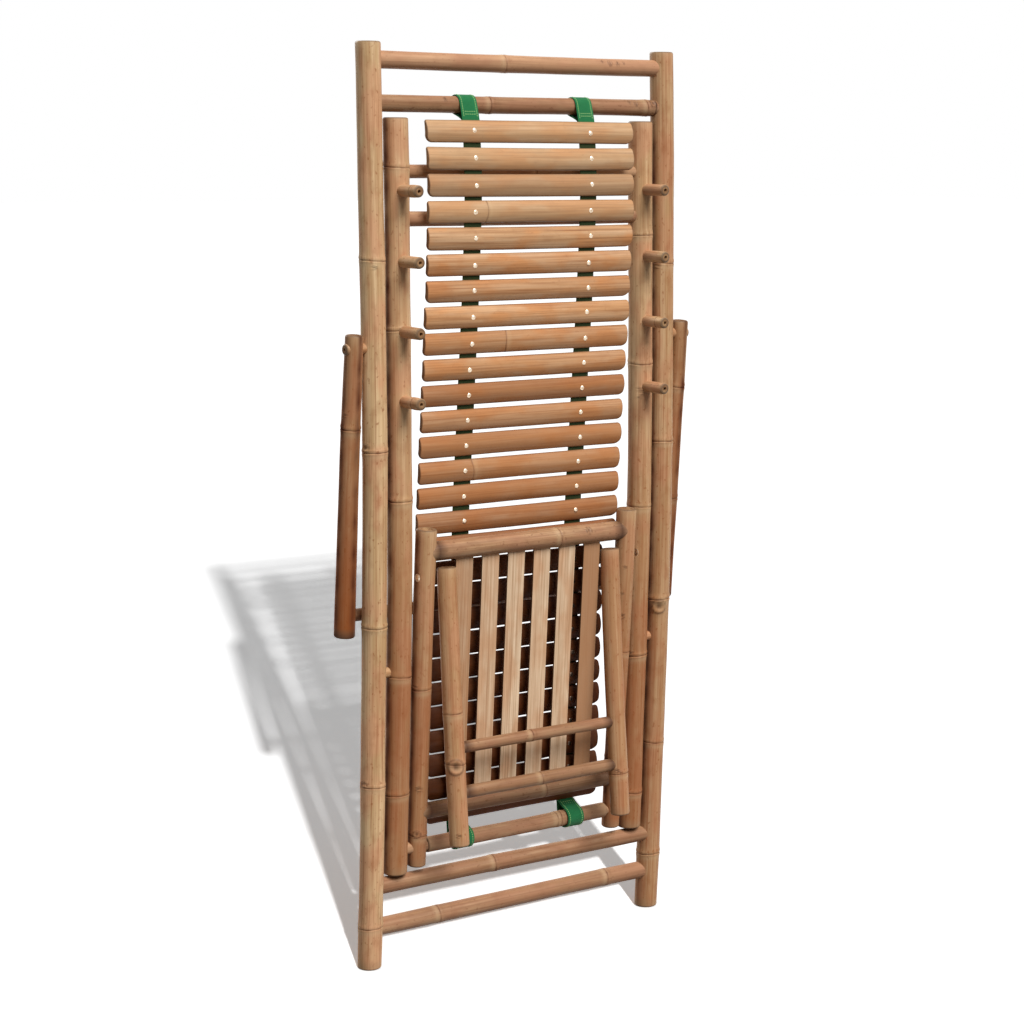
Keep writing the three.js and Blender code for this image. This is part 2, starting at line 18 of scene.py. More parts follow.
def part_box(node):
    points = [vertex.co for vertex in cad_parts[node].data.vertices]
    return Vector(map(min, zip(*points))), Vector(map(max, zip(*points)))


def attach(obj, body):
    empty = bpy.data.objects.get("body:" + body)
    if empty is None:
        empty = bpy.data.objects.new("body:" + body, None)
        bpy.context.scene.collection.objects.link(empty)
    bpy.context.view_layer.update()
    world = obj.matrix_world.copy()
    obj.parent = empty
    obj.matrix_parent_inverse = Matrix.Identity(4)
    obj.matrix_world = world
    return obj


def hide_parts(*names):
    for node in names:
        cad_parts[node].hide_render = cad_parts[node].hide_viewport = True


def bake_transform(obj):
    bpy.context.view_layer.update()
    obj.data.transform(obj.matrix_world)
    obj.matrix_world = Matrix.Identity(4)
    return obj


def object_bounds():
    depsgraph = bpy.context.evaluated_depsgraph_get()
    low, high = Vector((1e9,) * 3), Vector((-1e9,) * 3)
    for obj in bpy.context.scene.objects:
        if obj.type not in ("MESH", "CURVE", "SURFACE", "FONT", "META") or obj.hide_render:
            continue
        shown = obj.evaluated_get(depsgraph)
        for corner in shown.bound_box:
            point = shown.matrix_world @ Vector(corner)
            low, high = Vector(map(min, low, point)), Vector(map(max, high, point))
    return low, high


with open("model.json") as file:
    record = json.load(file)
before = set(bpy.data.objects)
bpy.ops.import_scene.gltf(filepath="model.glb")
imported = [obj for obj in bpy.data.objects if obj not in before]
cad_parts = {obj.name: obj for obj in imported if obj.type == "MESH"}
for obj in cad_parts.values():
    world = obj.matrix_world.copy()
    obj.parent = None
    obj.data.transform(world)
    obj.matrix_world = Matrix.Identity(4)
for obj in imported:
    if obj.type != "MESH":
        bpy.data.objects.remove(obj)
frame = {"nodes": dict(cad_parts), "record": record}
cad_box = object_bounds()
pole_height = cad_box[1][2]
print("the frame holds", len(frame["nodes"]), "solids, as high as", round(pole_height, 3), "m")

# %% [markdown]
# ## The camera
#
# A photograph is a view from one point, so the camera comes first and every later render can be set
# beside it. It stands to the left of the chair and a little lower than its top, turned towards it and
# tilted down. The lens is a long one, because the long poles hardly converge. A camera in Blender looks
# along its own -Z with +Y up, so its three axes are worked out as vectors and put in a matrix: that is
# easier to get right than three Euler angles.

# %% Camera
camera_place = Vector((-1.9201, -2.7552, 1.2174))
camera_yaw = math.radians(34.463)
camera_pitch = math.radians(9.213)
camera_roll = math.radians(-0.493)
picture_size = 1024
focal_pixels = 2261.3
sensor_width = 36.0
far_clip = 200

forward = Vector(
    (
        math.sin(camera_yaw) * math.cos(camera_pitch),
        math.cos(camera_yaw) * math.cos(camera_pitch),
        -math.sin(camera_pitch),
    )
)
level_right = Vector((math.cos(camera_yaw), -math.sin(camera_yaw), 0))
level_down = forward.cross(level_right)
right = math.cos(camera_roll) * level_right + math.sin(camera_roll) * level_down
down = math.cos(camera_roll) * level_down - math.sin(camera_roll) * level_right
camera_turn = Matrix((right, -down, -forward)).transposed().to_4x4()

lens = bpy.data.cameras.new("camera")
lens.sensor_width = sensor_width
lens.lens = focal_pixels / picture_size * sensor_width
lens.clip_end = far_clip
camera = bpy.data.objects.new("camera", lens)
camera.matrix_world = Matrix.Translation(camera_place) @ camera_turn
bpy.context.scene.collection.objects.link(camera)
bpy.context.scene.camera = camera
bpy.context.scene.view_settings.view_transform = "Standard"
print("the lens is", round(lens.lens, 1), "mm long")

# %% [markdown]
# ## Light and floor
#
# The chair stands in a white studio. A wide soft lamp, high in front, models the bamboo, a weaker one
# lights its back, and a low hard lamp draws the long shadow that falls away behind it. Sun lamps are the
# simplest such lamps: only their direction matters, and their angle sets how soft a shadow's edge is.
# One lamp for all would be plainer, but the short soft shadows on the chair and the crisp long one on the
# floor can't come from the same lamp. So light linking lets the soft lamps shine on the chair alone and
# the hard one on the floor alone. The hard lamp shines along the line from a pole's head to the head's
# own shadow.

# %% Lamps
shadow_run = Vector((1.295, 3.048, 0))
along_shadow = shadow_run - Vector((0, 0, pole_height))
soft_from = Vector((0.07, -0.80, 0.95))
back_from = Vector((-0.10, 0.85, 0.45))

chair = bpy.data.collections.new("chair")
studio = bpy.data.collections.new("studio")
for group in (chair, studio):
    bpy.context.scene.collection.children.link(group)


def add_lamp(name, direction, strength, softness, shines_on):
    """A sun lamp that shines along the direction, on the things in one collection."""
    light = bpy.data.lights.new(name, "SUN")
    light.energy = strength
    light.angle = math.radians(softness)
    lamp = bpy.data.objects.new(name, light)
    lamp.rotation_euler = direction.to_track_quat("-Z", "Y").to_euler()
    lamp.light_linking.receiver_collection = shines_on
    bpy.context.scene.collection.objects.link(lamp)


add_lamp("soft lamp", -soft_from, strength=4.3, softness=36, shines_on=chair)
add_lamp("back lamp", -back_from, strength=1.9, softness=40, shines_on=chair)
add_lamp("hard lamp", along_shadow, strength=2.9, softness=1.3, shines_on=studio)
print("the sun stands", round(math.degrees(math.atan2(pole_height, shadow_run.length)), 1), "degrees high")


# %% Helpers for shader nodes
def plug(tree, socket, value):
    """A socket is fed by another node's socket, or it holds a plain value."""
    if isinstance(value, bpy.types.NodeSocket):
        tree.links.new(value, socket)
    else:
        socket.default_value = value


def add_node(tree, kind, settings=None, **inputs):
    """A shader node with its settings, and its named sockets filled."""
    node = tree.nodes.new(kind)
    for name, value in (settings or {}).items():
        setattr(node, name, value)
    for name, value in inputs.items():
        plug(tree, node.inputs[name.replace("_", " ")], value)
    return node


def maths(tree, operation, *values, kind="ShaderNodeMath"):
    """One sum, product or other operation on values and sockets."""
    node = add_node(tree, kind, {"operation": operation})
    for socket, value in zip(node.inputs, values):
        plug(tree, socket, value)
    return node.outputs[0]


print("helpers:", [helper.__name__ for helper in (plug, add_node, maths)])

# %% [markdown]
# The white room adds only a little light, because the gaps between the poles are nearly black. The lamps'
# strengths are chosen so that a colour renders about as it is written. The white of the room and of the
# floor is for the camera alone: every other ray finds a dim room and a plain grey floor.

# %% Room and floor
room_strength = 0.21
floor_grey, floor_white = 0.3, 2.1
floor_size = 80
floor_drop = 0.0005


def brighter_for_camera(owner, kind, output, dim, bright):
    """A dim shader for the rays that carry light, and a bright one for those that the camera follows."""
    owner.use_nodes = True
    tree = owner.node_tree
    tree.nodes.clear()
    path = add_node(tree, "ShaderNodeLightPath").outputs
    seen = maths(tree, "MAXIMUM", path["Is Camera Ray"], path["Is Glossy Ray"])
    seen = maths(tree, "MAXIMUM", seen, path["Is Transmission Ray"])
    either = add_node(tree, "ShaderNodeMixShader", Fac=seen)
    for number, looks in enumerate((dim, bright), 1):
        plug(tree, either.inputs[number], add_node(tree, kind, **looks).outputs[0])
    add_node(tree, output, Surface=either.outputs[0])


world = bpy.data.worlds.new("white room")
bpy.context.scene.world = world
dim, bright = ({"Color": (1, 1, 1, 1), "Strength": strength} for strength in (room_strength, 1.0))
brighter_for_camera(world, "ShaderNodeBackground", "ShaderNodeOutputWorld", dim, bright)
floor_finish = bpy.data.materials.new("white floor")
dim, bright = ({"Color": (tone, tone, tone, 1)} for tone in (floor_grey, floor_white))
brighter_for_camera(floor_finish, "ShaderNodeBsdfDiffuse", "ShaderNodeOutputMaterial", dim, bright)

half = floor_size / 2
floor_corners = [(-half, -half, 0), (half, -half, 0), (half, half, 0), (-half, half, 0)]
floor_mesh = bpy.data.meshes.new("floor")
floor_mesh.from_pydata(floor_corners, [], [(0, 1, 2, 3)])
floor_mesh.materials.append(floor_finish)
floor = bpy.data.objects.new("floor", floor_mesh)
floor.location.z = -floor_drop
studio.objects.link(floor)
print("the floor is", floor_size, "m wide")

# %% [markdown]
# ## The skin of bamboo
#
# Bamboo is a grass. Its outer skin is smooth, hard and a little waxy, tan once it has dried, with fine
# straight fibres, and it clouds from straw to a rosy brown. A picture of bamboo would be easier but would
# repeat on every pole, so the skin is painted in thin coats, each let through by its own noise. Noise that
# is stretched along the culm gives fibres, streaks and broad bands, and rounder noise gives soft clouds,
# mottling and specks. They read the `grain` attribute, which holds each point's place in its own straight
# culm, so the fibres follow a pole that bows or leans and never show a seam. Two more attributes steer the
# colour. `mark` says where a groove's dirt, a pale bloom or a scar lies, and where painted shade darkens
# the skin: between poles that lie side by side, at joints, and on the slats, straps and rivets behind the
# footrest. `tint` gives each piece its own tone: how brown it is, how rosy, and how much painted shade
# darkens it low down.

# %% Helpers for finishes
def srgb(red, green, blue):
    """A colour written as the 0 to 255 values of a picture, as the linear values of a shader."""
    linear = [((v / 255 + 0.055) / 1.055) ** 2.4 if v > 10 else v / 255 / 12.92 for v in (red, green, blue)]
    return (*linear, 1)


def new_finish(name, roughness):
    """A new material, its node tree and the inputs of its Principled node."""
    finish = bpy.data.materials.new(name)
    finish.use_nodes = True
    surface = finish.node_tree.nodes["Principled BSDF"].inputs
    surface["Roughness"].default_value = roughness
    return finish, finish.node_tree, surface


def parts_of(tree, attribute):
    """A vector attribute's own socket, and one socket for each of its three numbers."""
    vector = add_node(tree, "ShaderNodeAttribute", {"attribute_name": attribute}).outputs["Vector"]
    return vector, add_node(tree, "ShaderNodeSeparateXYZ", Vector=vector).outputs


print("the grey of 128 is", round(srgb(128, 128, 128)[0], 3), "in a shader")


# %% Noise and coats
def clouds(tree, place, across, along, detail=2.0):
    """Noise with that many features in a metre across the culm and along it."""
    scaled = maths(tree, "MULTIPLY", place, (across, across, along), kind="ShaderNodeVectorMath")
    return add_node(tree, "ShaderNodeTexNoise", Vector=scaled, Scale=1.0, Detail=detail).outputs["Fac"]


def between(tree, value, low, high, least=0.0, most=1.0):
    """The value's stretch from low to high, spread from least to most."""
    ends = {"From_Min": low, "From_Max": high, "To_Min": least, "To_Max": most}
    return add_node(tree, "ShaderNodeMapRange", Value=value, **ends).outputs[0]


def over(tree, under, colour, share):
    """The colour under, with another laid over it by a share from 0 to 1.
    A Mix node has its sockets for colours at 6 and 7, and gives the colour at 2."""
    mix = add_node(tree, "ShaderNodeMix", {"data_type": "RGBA"})
    for number, value in ((0, share), (6, under), (7, colour)):
        plug(tree, mix.inputs[number], value)
    return mix.outputs[2]


def emboss(tree, surface, height, strength, depth):
    """The surface catches the light as if it rose and fell by the height."""
    bump = add_node(tree, "ShaderNodeBump", Height=height, Strength=strength, Distance=depth)
    plug(tree, surface["Normal"], bump.outputs[0])


print("coats and noise:", [helper.__name__ for helper in (clouds, between, over, emboss)])

# %% The look of bamboo
# Dark brown for the dirt in the nodes' grooves, also laid as painted shade between poles that lie side by
# side.
groove_and_shade_brown = srgb(72, 30, 12)
# Dark brown for scars and stains, also laid as painted shade at seats and on the slats and rivets behind the
# footrest.
scar_and_shade_brown = srgb(58, 34, 22)
bloom_tan = srgb(205, 176, 136)
haze = 0.16


def bamboo(name, *tones, roughness=0.46, fibre=0.35, specks=0.5, relief=0.00006):
    """The skin of bamboo in four tones, from its lightest to the brown of its streaks."""
    straw, tan, rosy, brown = (srgb(*tone) for tone in tones)
    finish, tree, surface = new_finish(name, roughness)
    surface["Specular IOR Level"].default_value = haze
    place, _ = parts_of(tree, "grain")
    _, mark = parts_of(tree, "mark")
    _, tint = parts_of(tree, "tint")
    fine = clouds(tree, place, 820, 11, 3)
    streaks = clouds(tree, place, 290, 6)
    broad = clouds(tree, place, 110, 3)
    soft = clouds(tree, place, 34, 15)
    spots = clouds(tree, place, 240, 150, 1)
    mottle = clouds(tree, place, 75, 42, 3)
    # The mark's first number lays the grooves' dirt at the nodes and the painted shade of the bands between
    # poles.
    ragged = maths(tree, "MULTIPLY", mark[0], between(tree, soft, 0.3, 0.6, 0.55, 1))
    coats = (
        (tan, between(tree, broad, 0.38, 0.60)),
        (rosy, between(tree, soft, 0.44, 0.62, 0, 0.85)),
        (brown, between(tree, mottle, 0.50, 0.70, 0, 0.06 + 0.4 * specks)),
        (brown, between(tree, streaks, 0.48, 0.74, 0, 1.3 * fibre)),
        (brown, between(tree, fine, 0.44, 0.72, 0, fibre)),
        (brown, between(tree, spots, 0.66, 0.75, 0, specks)),
        (rosy, tint[1]),
        (brown, tint[0]),
        (bloom_tan, maths(tree, "MULTIPLY", mark[1], 0.6)),
        (groove_and_shade_brown, ragged),
        (scar_and_shade_brown, mark[2]),
    )
    colour = straw
    for tone, share in coats:
        colour = over(tree, colour, tone, share)
    plug(tree, surface["Base Color"], colour)
    gloss = between(tree, soft, 0.3, 0.7, roughness - 0.07, roughness + 0.1)
    gloss = maths(tree, "ADD", gloss, maths(tree, "MULTIPLY", ragged, 0.45))
    plug(tree, surface["Roughness"], gloss)
    height = maths(tree, "ADD", fine, maths(tree, "MULTIPLY", broad, 1.5))
    emboss(tree, surface, height, strength=1.0, depth=relief)
    return finish


print("the dirt in a groove is", [round(value, 3) for value in groove_and_shade_brown[:3]])

# %% Bamboo finishes
pole_skin = bamboo("bamboo pole skin", (218, 186, 143), (190, 155, 112), (203, 154, 116), (126, 60, 8))
rail_skin = bamboo("bamboo rail skin", (200, 162, 124), (172, 132, 96), (178, 130, 98), (96, 58, 34))
slat_tones = (209, 171, 133), (193, 149, 107), (201, 139, 88), (100, 42, 4)
slat_skin = bamboo("bamboo slat skin", *slat_tones, roughness=0.42, specks=0.15)
pith_tones = (226, 200, 168), (210, 182, 150), (202, 160, 124), (140, 92, 54)
pith = bamboo("bamboo pith", *pith_tones, roughness=0.72, fibre=0.5, specks=0.1, relief=0.00012)
cut_tones = (176, 140, 100), (150, 112, 76), (140, 100, 68), (96, 64, 42)
cut_end = bamboo("bamboo cut end", *cut_tones, roughness=0.8, fibre=0.5, relief=0.0002)
print("bamboo finishes:", [finish.name for finish in (pole_skin, rail_skin, slat_skin, pith, cut_end)])

# %% [markdown]
# ## The shape of a culm
#
# A culm is a tube that is closed at its nodes. Where a leaf sheath grew, a sharp groove runs round it,
# with a low rounded ridge above, and the skin swells a little on both sides. Between nodes the tube is
# hardly ever quite round or quite straight. A cylinder with a few loop cuts would look turned on a lathe,
# so the rings are worked out with numpy: they lie close together at the nodes and the ends, where the
# shape changes fast, and wide apart between them. Each cut end is sawn square and worn round at its edge,
# and shows either the thin wall round a sunken diaphragm or, on a peg, an open hole.

# %% Bells and worn edges
TAU = 2 * math.pi


def bell(distance, width):
    """1 at no distance, and nearly 0 beyond twice the width on either side."""
    return np.exp(-((distance / width) ** 2))


def bells(distance, profile):
    """The sum of a profile's bells, each with its strength, its place and its width."""
    return sum(strength * bell(distance - place, width) for strength, place, width in profile)


def eased(distance, radius):
    """How far a rounded edge falls back at a distance from it."""
    inside = np.clip(1 - distance / radius, 0, 1)
    return radius * (1 - np.sqrt(1 - inside**2))


print("a bell that is 5 mm wide falls to", round(float(bell(0.005, 0.005)), 2), "at 5 mm")

# %% Rings of a culm
ring_spacing = 0.016
worn_edge = 0.0030
node_rings = (0.0, 0.0006, 0.0013, 0.0021, 0.0032, 0.0048, 0.007, 0.010, 0.014)
# Each pair is a share of the end's radius and a depth into the end.
closed_end = ((0.86, 0.0), (0.74, 0.0), (0.69, 0.0010), (0.60, 0.0024), (0.30, 0.0030))
hollow_end = ((0.80, 0.0), (0.46, 0.0), (0.41, 0.0008), (0.39, 0.0130))


def ring_heights(length, nodes, scars):
    """Where the rings of a culm lie: close together at the ends, nodes and scars."""
    worn = [worn_edge * share for share in (0, 0.08, 0.25, 0.5, 1)]
    dense = [*worn, *(length - z for z in worn)]
    for node in nodes:
        dense += [node + side * z for z in node_rings for side in (-1, 1)]
    for z, _, size in scars:
        dense += [z + size * step / 6 for step in range(-8, 9)]
    plain = np.linspace(0, length, max(2, round(length / ring_spacing)) + 1)
    heights = sorted({round(z, 6) for z in dense if 0 <= z <= length})
    far = [z for z in plain if min(abs(z - other) for other in heights) > ring_spacing / 3]
    return np.array(sorted([*heights, *far]))


print("a node shows", 2 * len(node_rings) - 1, "rings")


# %% Faces of a tube
def loop_faces(first, second, sides, flip=False):
    """Quads between two rings of points, which start at those numbers."""
    quads = []
    for j in range(sides):
        k = (j + 1) % sides
        quad = (first + j, first + k, second + k, second + j)
        quads.append(quad[::-1] if flip else quad)
    return quads


def tube_faces(rows, sides):
    """Quads round a tube of that many rings."""
    return [quad for i in range(rows - 1) for quad in loop_faces(i * sides, (i + 1) * sides, sides)]


print("a tube of 3 rings with 4 sides has", len(tube_faces(3, 4)), "quads")


# %% Shapes
def as_shape(points, faces, skins=None, grain=None, mark=None):
    """A shape's five parts. Those left out stand for one finish, its own place as grain, and no mark."""
    points = np.array(points)
    return {
        "points": points,
        "faces": faces,
        "skins": skins or [0] * len(faces),
        "grain": points if grain is None else np.array(grain),
        "mark": np.zeros_like(points) if mark is None else np.array(mark),
    }


def moved(shape, matrix):
    """The shape carried to its place by a matrix, with its grain left as it was."""
    turned = np.array(matrix.to_3x3())
    return {**shape, "points": shape["points"] @ turned.T + np.array(matrix.translation)}


def joined(*shapes):
    """Several shapes as one."""
    faces, skins, count = [], [], 0
    for shape in shapes:
        faces += [tuple(index + count for index in face) for face in shape["faces"]]
        skins += shape["skins"]
        count += len(shape["points"])
    stacked = {key: np.concatenate([shape[key] for shape in shapes]) for key in ("points", "grain", "mark")}
    return {**stacked, "faces": faces, "skins": skins}


print("a shape is a dictionary of", ", ".join(as_shape([(0, 0, 0)], [])))

# %% [markdown]
# A culm is worked out in two steps. The first gives every point of its skin a radius and a `mark`, as the
# sum of small bells: the rings at the nodes, the branch scars, the dark line of dirt and painted shade at
# a seat, where the culm goes into another, the band of painted shade down its side, where it lies beside
# another, and the worn ends. The second turns the radii into points, and closes the tube at both ends.

# %% Profiles of a culm's relief and marks
# Profiles of bells by the height above a node's groove. The relief is a share of the radius: the swell,
# the ridge, the lip and the groove itself.
node_relief = ((0.036, 0, 0.0065), (0.024, 0.0042, 0.0019), (0.012, -0.0016, 0.0010), (-0.036, 0, 0.0008))
node_dirt = ((0.9, 0, 0.0010), (0.2, 0.0062, 0.0012))
node_bloom = ((0.45, -0.0055, 0.0042),)
# Profiles by the distance from a scar's middle, as a share of the scar's size.
scar_relief = ((0.16, 0.85, 0.3), (-0.14, 0, 0.5))
scar_stain = ((0.8, 0, 0.45), (0.55, 1.05, 0.16))
# Profiles by the distance from a seat, whose dark ring is dirt and painted shade, and from a cut end.
seat_dirt_and_shade = ((0.8, 0, 0.0013),)
end_bloom = ((0.6, 0, 0.0040),)
end_stain = ((0.75, 0, 0.0021),)
print("a node stands out by", round(100 * float(bells(0.0035, node_relief)), 1), "% of the radius")

# %% The skin of a culm
oval_share, wander_share, ripple_share = 0.008, 0.008, 0.005
wander_wave, ripple_wave, patch_wave = 0.27, 0.11, 0.045
waist_share, waist_reach = 0.016, 0.05
least_swell, swell_spread = 0.75, 0.5
node_waver, node_turn = 0.0010, 2.4
even_dirt, even_shade_band = 0.62, 0.78
shade_band_width = math.radians(20)
shade_band_fade = 0.03


def round_from(angles, degrees):
    """How far each angle lies from one given in degrees, the shorter way round."""
    return (angles - math.radians(degrees) + math.pi) % TAU - math.pi


def skin_of_culm(z, a, plain, length, radius, nodes, scars, seats, shade_bands, dice, phases):
    """The radius and the three marks at every height z and angle a."""
    r = plain * (1 + oval_share * np.cos(2 * a + phases[0]))
    r += wander_share * radius * np.sin(z / wander_wave * TAU + phases[1] + a)
    r += ripple_share * radius * np.sin(z / ripple_wave * TAU + phases[2] - 2 * a)
    dirt_and_shade, bloom, stains_and_shade = (np.zeros(z.shape) for _ in range(3))
    if nodes:
        nearest = np.min([np.abs(z - node) for node in nodes], axis=0)
        r -= waist_share * radius * (1 - bell(nearest, waist_reach))
    for number, node in enumerate(nodes):
        above = z - node - node_waver * np.cos(a + phases[3] + number * node_turn)
        r += plain * bells(above, node_relief) * (least_swell + swell_spread * dice.random())
        lobes = np.sin(2 * a + phases[5] + number) * np.sin(5 * a + phases[4])
        dirt_and_shade += (even_dirt + (1 - even_dirt) * lobes) * bells(above, node_dirt)
        bloom += bells(above, node_bloom)
    for at, angle, size in scars:
        spread = np.hypot(round_from(a, angle) * radius, z - at) / size
        r += size * bells(spread, scar_relief)
        stains_and_shade += bells(spread, scar_stain)
    # A seat's dark ring is dirt and painted shade where the culm goes into another.
    for seat in seats:
        stains_and_shade += bells(z - seat, seat_dirt_and_shade)
    # Bands of painted shade down the side of a pole where it lies beside another.
    for angle, low, high in shade_bands:
        inside = np.clip(np.minimum(z - low, high - z) / shade_band_fade, 0, 1)
        patchy = even_shade_band + (1 - even_shade_band) * np.sin(z / patch_wave * TAU + phases[0])
        dirt_and_shade += patchy * inside * bell(round_from(a, angle), shade_band_width)
    for edge in (z, length - z):
        bloom += bells(edge, end_bloom)
        stains_and_shade += bells(edge, end_stain)
        r -= eased(edge, worn_edge)
    return r, np.clip(np.stack([dirt_and_shade, bloom, stains_and_shade], axis=-1), 0, 1)


print("a rub spreads", round(math.degrees(shade_band_width)), "degrees to each side")

# %% A culm
drift, drift_wave = 0.00045, 0.7
culm_grain_step = 3.7


def culm(length, radius, far_radius=None, nodes=(), scars=(), seats=(), shade_bands=(), seed=1, sides=32, ends=None):
    """A length of bamboo from z = 0 up. A scar is (height, angle in degrees, size in metres), a seat is a
    height where the culm goes into another, and a shade band is (angle, low, high), a band of painted shade
    down the side where it lies beside one."""
    dice = np.random.default_rng(seed)
    phases = dice.uniform(0, TAU, 6)
    heights = ring_heights(length, nodes, scars)
    z, a = np.meshgrid(heights, np.arange(sides) / sides * TAU, indexing="ij")
    plain = radius + ((far_radius or radius) - radius) * z / length
    r, mark = skin_of_culm(z, a, plain, length, radius, nodes, scars, seats, shade_bands, dice, phases)
    bend = drift * np.sin(z / drift_wave * TAU + phases[4])
    skin = np.stack([r * np.cos(a) + bend, r * np.sin(a) - bend, z], axis=-1).reshape(-1, 3)
    rows = len(heights)
    faces = tube_faces(rows, sides)
    skins = [0] * len(faces)
    points, count = [skin], len(skin)
    low_end, high_end = ends or (closed_end, closed_end)
    for shares, before, up in ((low_end, 0, 1), (high_end, (rows - 1) * sides, -1)):
        rim = skin[before : before + sides]
        centre = rim.mean(axis=0)
        for share, depth in shares:
            points.append(centre + (rim - centre) * share + np.array([0, 0, up * depth]))
            faces += loop_faces(before, count, sides, flip=up > 0)
            before, count = count, count + sides
        points.append(centre[None, :] + np.array([0, 0, up * depth]))
        for j in range(sides):
            fan = (before + j, before + (j + 1) % sides, count)
            faces.append(fan[::-1] if up > 0 else fan)
        count += 1
    skins += [1] * (len(faces) - len(skins))
    points = np.concatenate(points)
    marks = np.concatenate([mark.reshape(-1, 3), np.zeros((count - len(skin), 3))])
    return as_shape(points, faces, skins, points + np.array([0, 0, culm_grain_step * seed]), marks)


print("a short culm has", len(culm(0.3, 0.018, nodes=(0.1,))["points"]), "points")

# %% [markdown]
# ## From a shape to a piece of the chair
#
# Every piece is one mesh object whose points are already in the chair's own frame, so that nothing has
# to be moved afterwards. It is shaded smooth, with sharp edges where two faces meet at a steep angle,
# which keeps the saw cuts crisp. The piece then names the slot of its finish, takes the place of its plain
# solid, and rides on the body that carries it, where it has one. Low down the bamboo is darkened with
# painted shade, and the third number of a tint says by how much.

# %% A mesh object
sharp_angle = math.radians(50)
# Painted shade low down on a piece begins below darker_below and is deepest at darkest_below.
darker_below, darkest_below = 0.85, 0.40


def make_object(name, shape, finishes, tint):
    """A mesh object with its finishes and its three attributes."""
    points = shape["points"]
    mesh = bpy.data.meshes.new(name)
    mesh.from_pydata(points.tolist(), [], shape["faces"])
    for finish in finishes:
        mesh.materials.append(finish)
    mesh.polygons.foreach_set("material_index", shape["skins"])
    mesh.polygons.foreach_set("use_smooth", [True] * len(shape["faces"]))
    tints = np.tile(np.array(tint, float), (len(points), 1))
    # Painted shade: the brown share grows by the tint's third number towards the bottom.
    lower = np.clip((darker_below - points[:, 2]) / (darker_below - darkest_below), 0, 1)
    tints[:, 0] += tints[:, 2] * lower
    for label, values in (("grain", shape["grain"]), ("mark", shape["mark"]), ("tint", tints)):
        layer = mesh.attributes.new(label, "FLOAT_VECTOR", "POINT")
        layer.data.foreach_set("vector", values.astype(np.float32).ravel())
    mesh.set_sharp_from_angle(angle=sharp_angle)
    mesh.update()
    made = bpy.data.objects.new(name, mesh)
    chair.objects.link(made)
    return made


print("edges of more than", round(math.degrees(sharp_angle)), "degrees stay sharp")

# %% A piece of the chair
plain_tint = (0, 0, 0)


def dress(name, shape, finishes, node=None, body=None, tint=plain_tint):
    """A piece that stands for a node of the frame. With no body it is attached to none."""
    made = make_object(name, shape, finishes, tint)
    if node:
        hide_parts(node)
    if body:
        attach(made, body)
    else:
        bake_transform(made)


def dress_pole(node, shape, body, tint):
    dress(node + "_culm", shape, (pole_skin, cut_end), node, body, tint)


def dress_rail(node, shape, body, tint):
    dress(node + "_culm", shape, (rail_skin, cut_end), node, body, tint)


# %% [markdown]
# ## The long poles
#
# The chair's two frames are each a pair of long poles. All four bow forward a little at half their height,
# as they dried. A Simple Deform modifier could bend them, but the rails and the sling follow the same
# curve, so it is written once as a function of height. The nodes and scars lie where the photograph shows
# them. Angles run anticlockwise seen from above, and 235 degrees faces the camera. Where two poles lie
# side by side, a band of painted shade darkens the skin, and a pole's shade bands give the side and the
# heights of it.

# %% Places that the pieces share
record = frame["record"]
plane_y = record["mounts"][0]["pos_m"][1]
hinges = {joint["name"]: Vector(joint["pos_m"]) for joint in record["behaviour"]["joints"]}
bow_depth = 0.018
sides = (("left", -1), ("right", 1))
# Heights beyond the ends of any pole, for a band of painted shade that runs all along it.
past_foot, past_top = -1, 2
pivot = hinges["seat_fold"]


def bow(z):
    """How far back the long poles' middle lies at height z."""
    middle = pole_height / 2
    return plane_y - bow_depth * (1 - ((z - middle) / middle) ** 2)


def bowed(shape, x, z):
    """An upright shape moved to x and z and bent with the long poles."""
    points = shape["points"] + np.array([x, 0, z])
    points[:, 1] += bow(points[:, 2])
    return {**shape, "points": points}


def pole(looks, low, high, radius, seed, far_radius=None, shade_bands=()):
    """A culm from low to high, whose looks give its nodes and scars by those same heights."""
    nodes = [z - low for z in looks["nodes"]]
    scars = [(z - low, angle, size) for z, angle, size in looks["scars"]]
    return culm(high - low, radius, far_radius, nodes=nodes, scars=scars, shade_bands=shade_bands, seed=seed)


print("the poles lie", round(plane_y * 1000, 1), "mm behind the origin at the floor")

# %% Back poles
back_pole_x = 0.261
back_pole_radius = 0.0183
seat_pole_low, seat_pole_high = 0.141, 1.255
# The sides of a pole where a band of painted shade falls, a little to the front of the line between two
# poles.
outward = {"left": 185, "right": -5}
toward_middle = {"left": -1, "right": 181}
back_poles = {
    "left": {
        "nodes": (0.065, 0.283, 0.524, 0.780, 1.054),
        "scars": ((0.788, 192, 0.006), (0.290, 196, 0.005), (1.045, 250, 0.003)),
        "tint": (0.0, 0.0, 0.06),
    },
    "right": {
        "nodes": (0.09, 0.277, 0.512, 0.762, 1.040),
        "scars": ((0.501, 240, 0.0105), (1.036, 210, 0.004)),
        "tint": (0.28, 0.0, 0.22),
    },
}
for number, (side, sign) in enumerate(sides):
    looks = back_poles[side]
    shade_band = (toward_middle[side], seat_pole_low, seat_pole_high)
    shape = pole(looks, 0, pole_height, back_pole_radius, 11 + number, shade_bands=(shade_band,))
    dress_pole("back_pole_" + side, bowed(shape, sign * back_pole_x, 0), "back_frame", looks["tint"])
print("back poles stand", round(2 * back_pole_x, 3), "m apart")

# %% [markdown]
# A peg is a short thin culm, sawn off so that its hollow shows. Four of them stand out of the front of
# each seat pole, where the stay's rail drops between them. They start at the pole's middle, so that no
# gap shows where peg and pole meet, and they are part of the pole's own mesh.

# %% A stop peg
seat_pole_x = 0.219
seat_pole_radius = 0.0187
peg_radius, peg_taper = 0.009, 0.96
peg_reach = 0.062
peg_node = 0.046
seat_line = 0.001
peg_turn = Matrix.Rotation(math.radians(90), 4, "X")


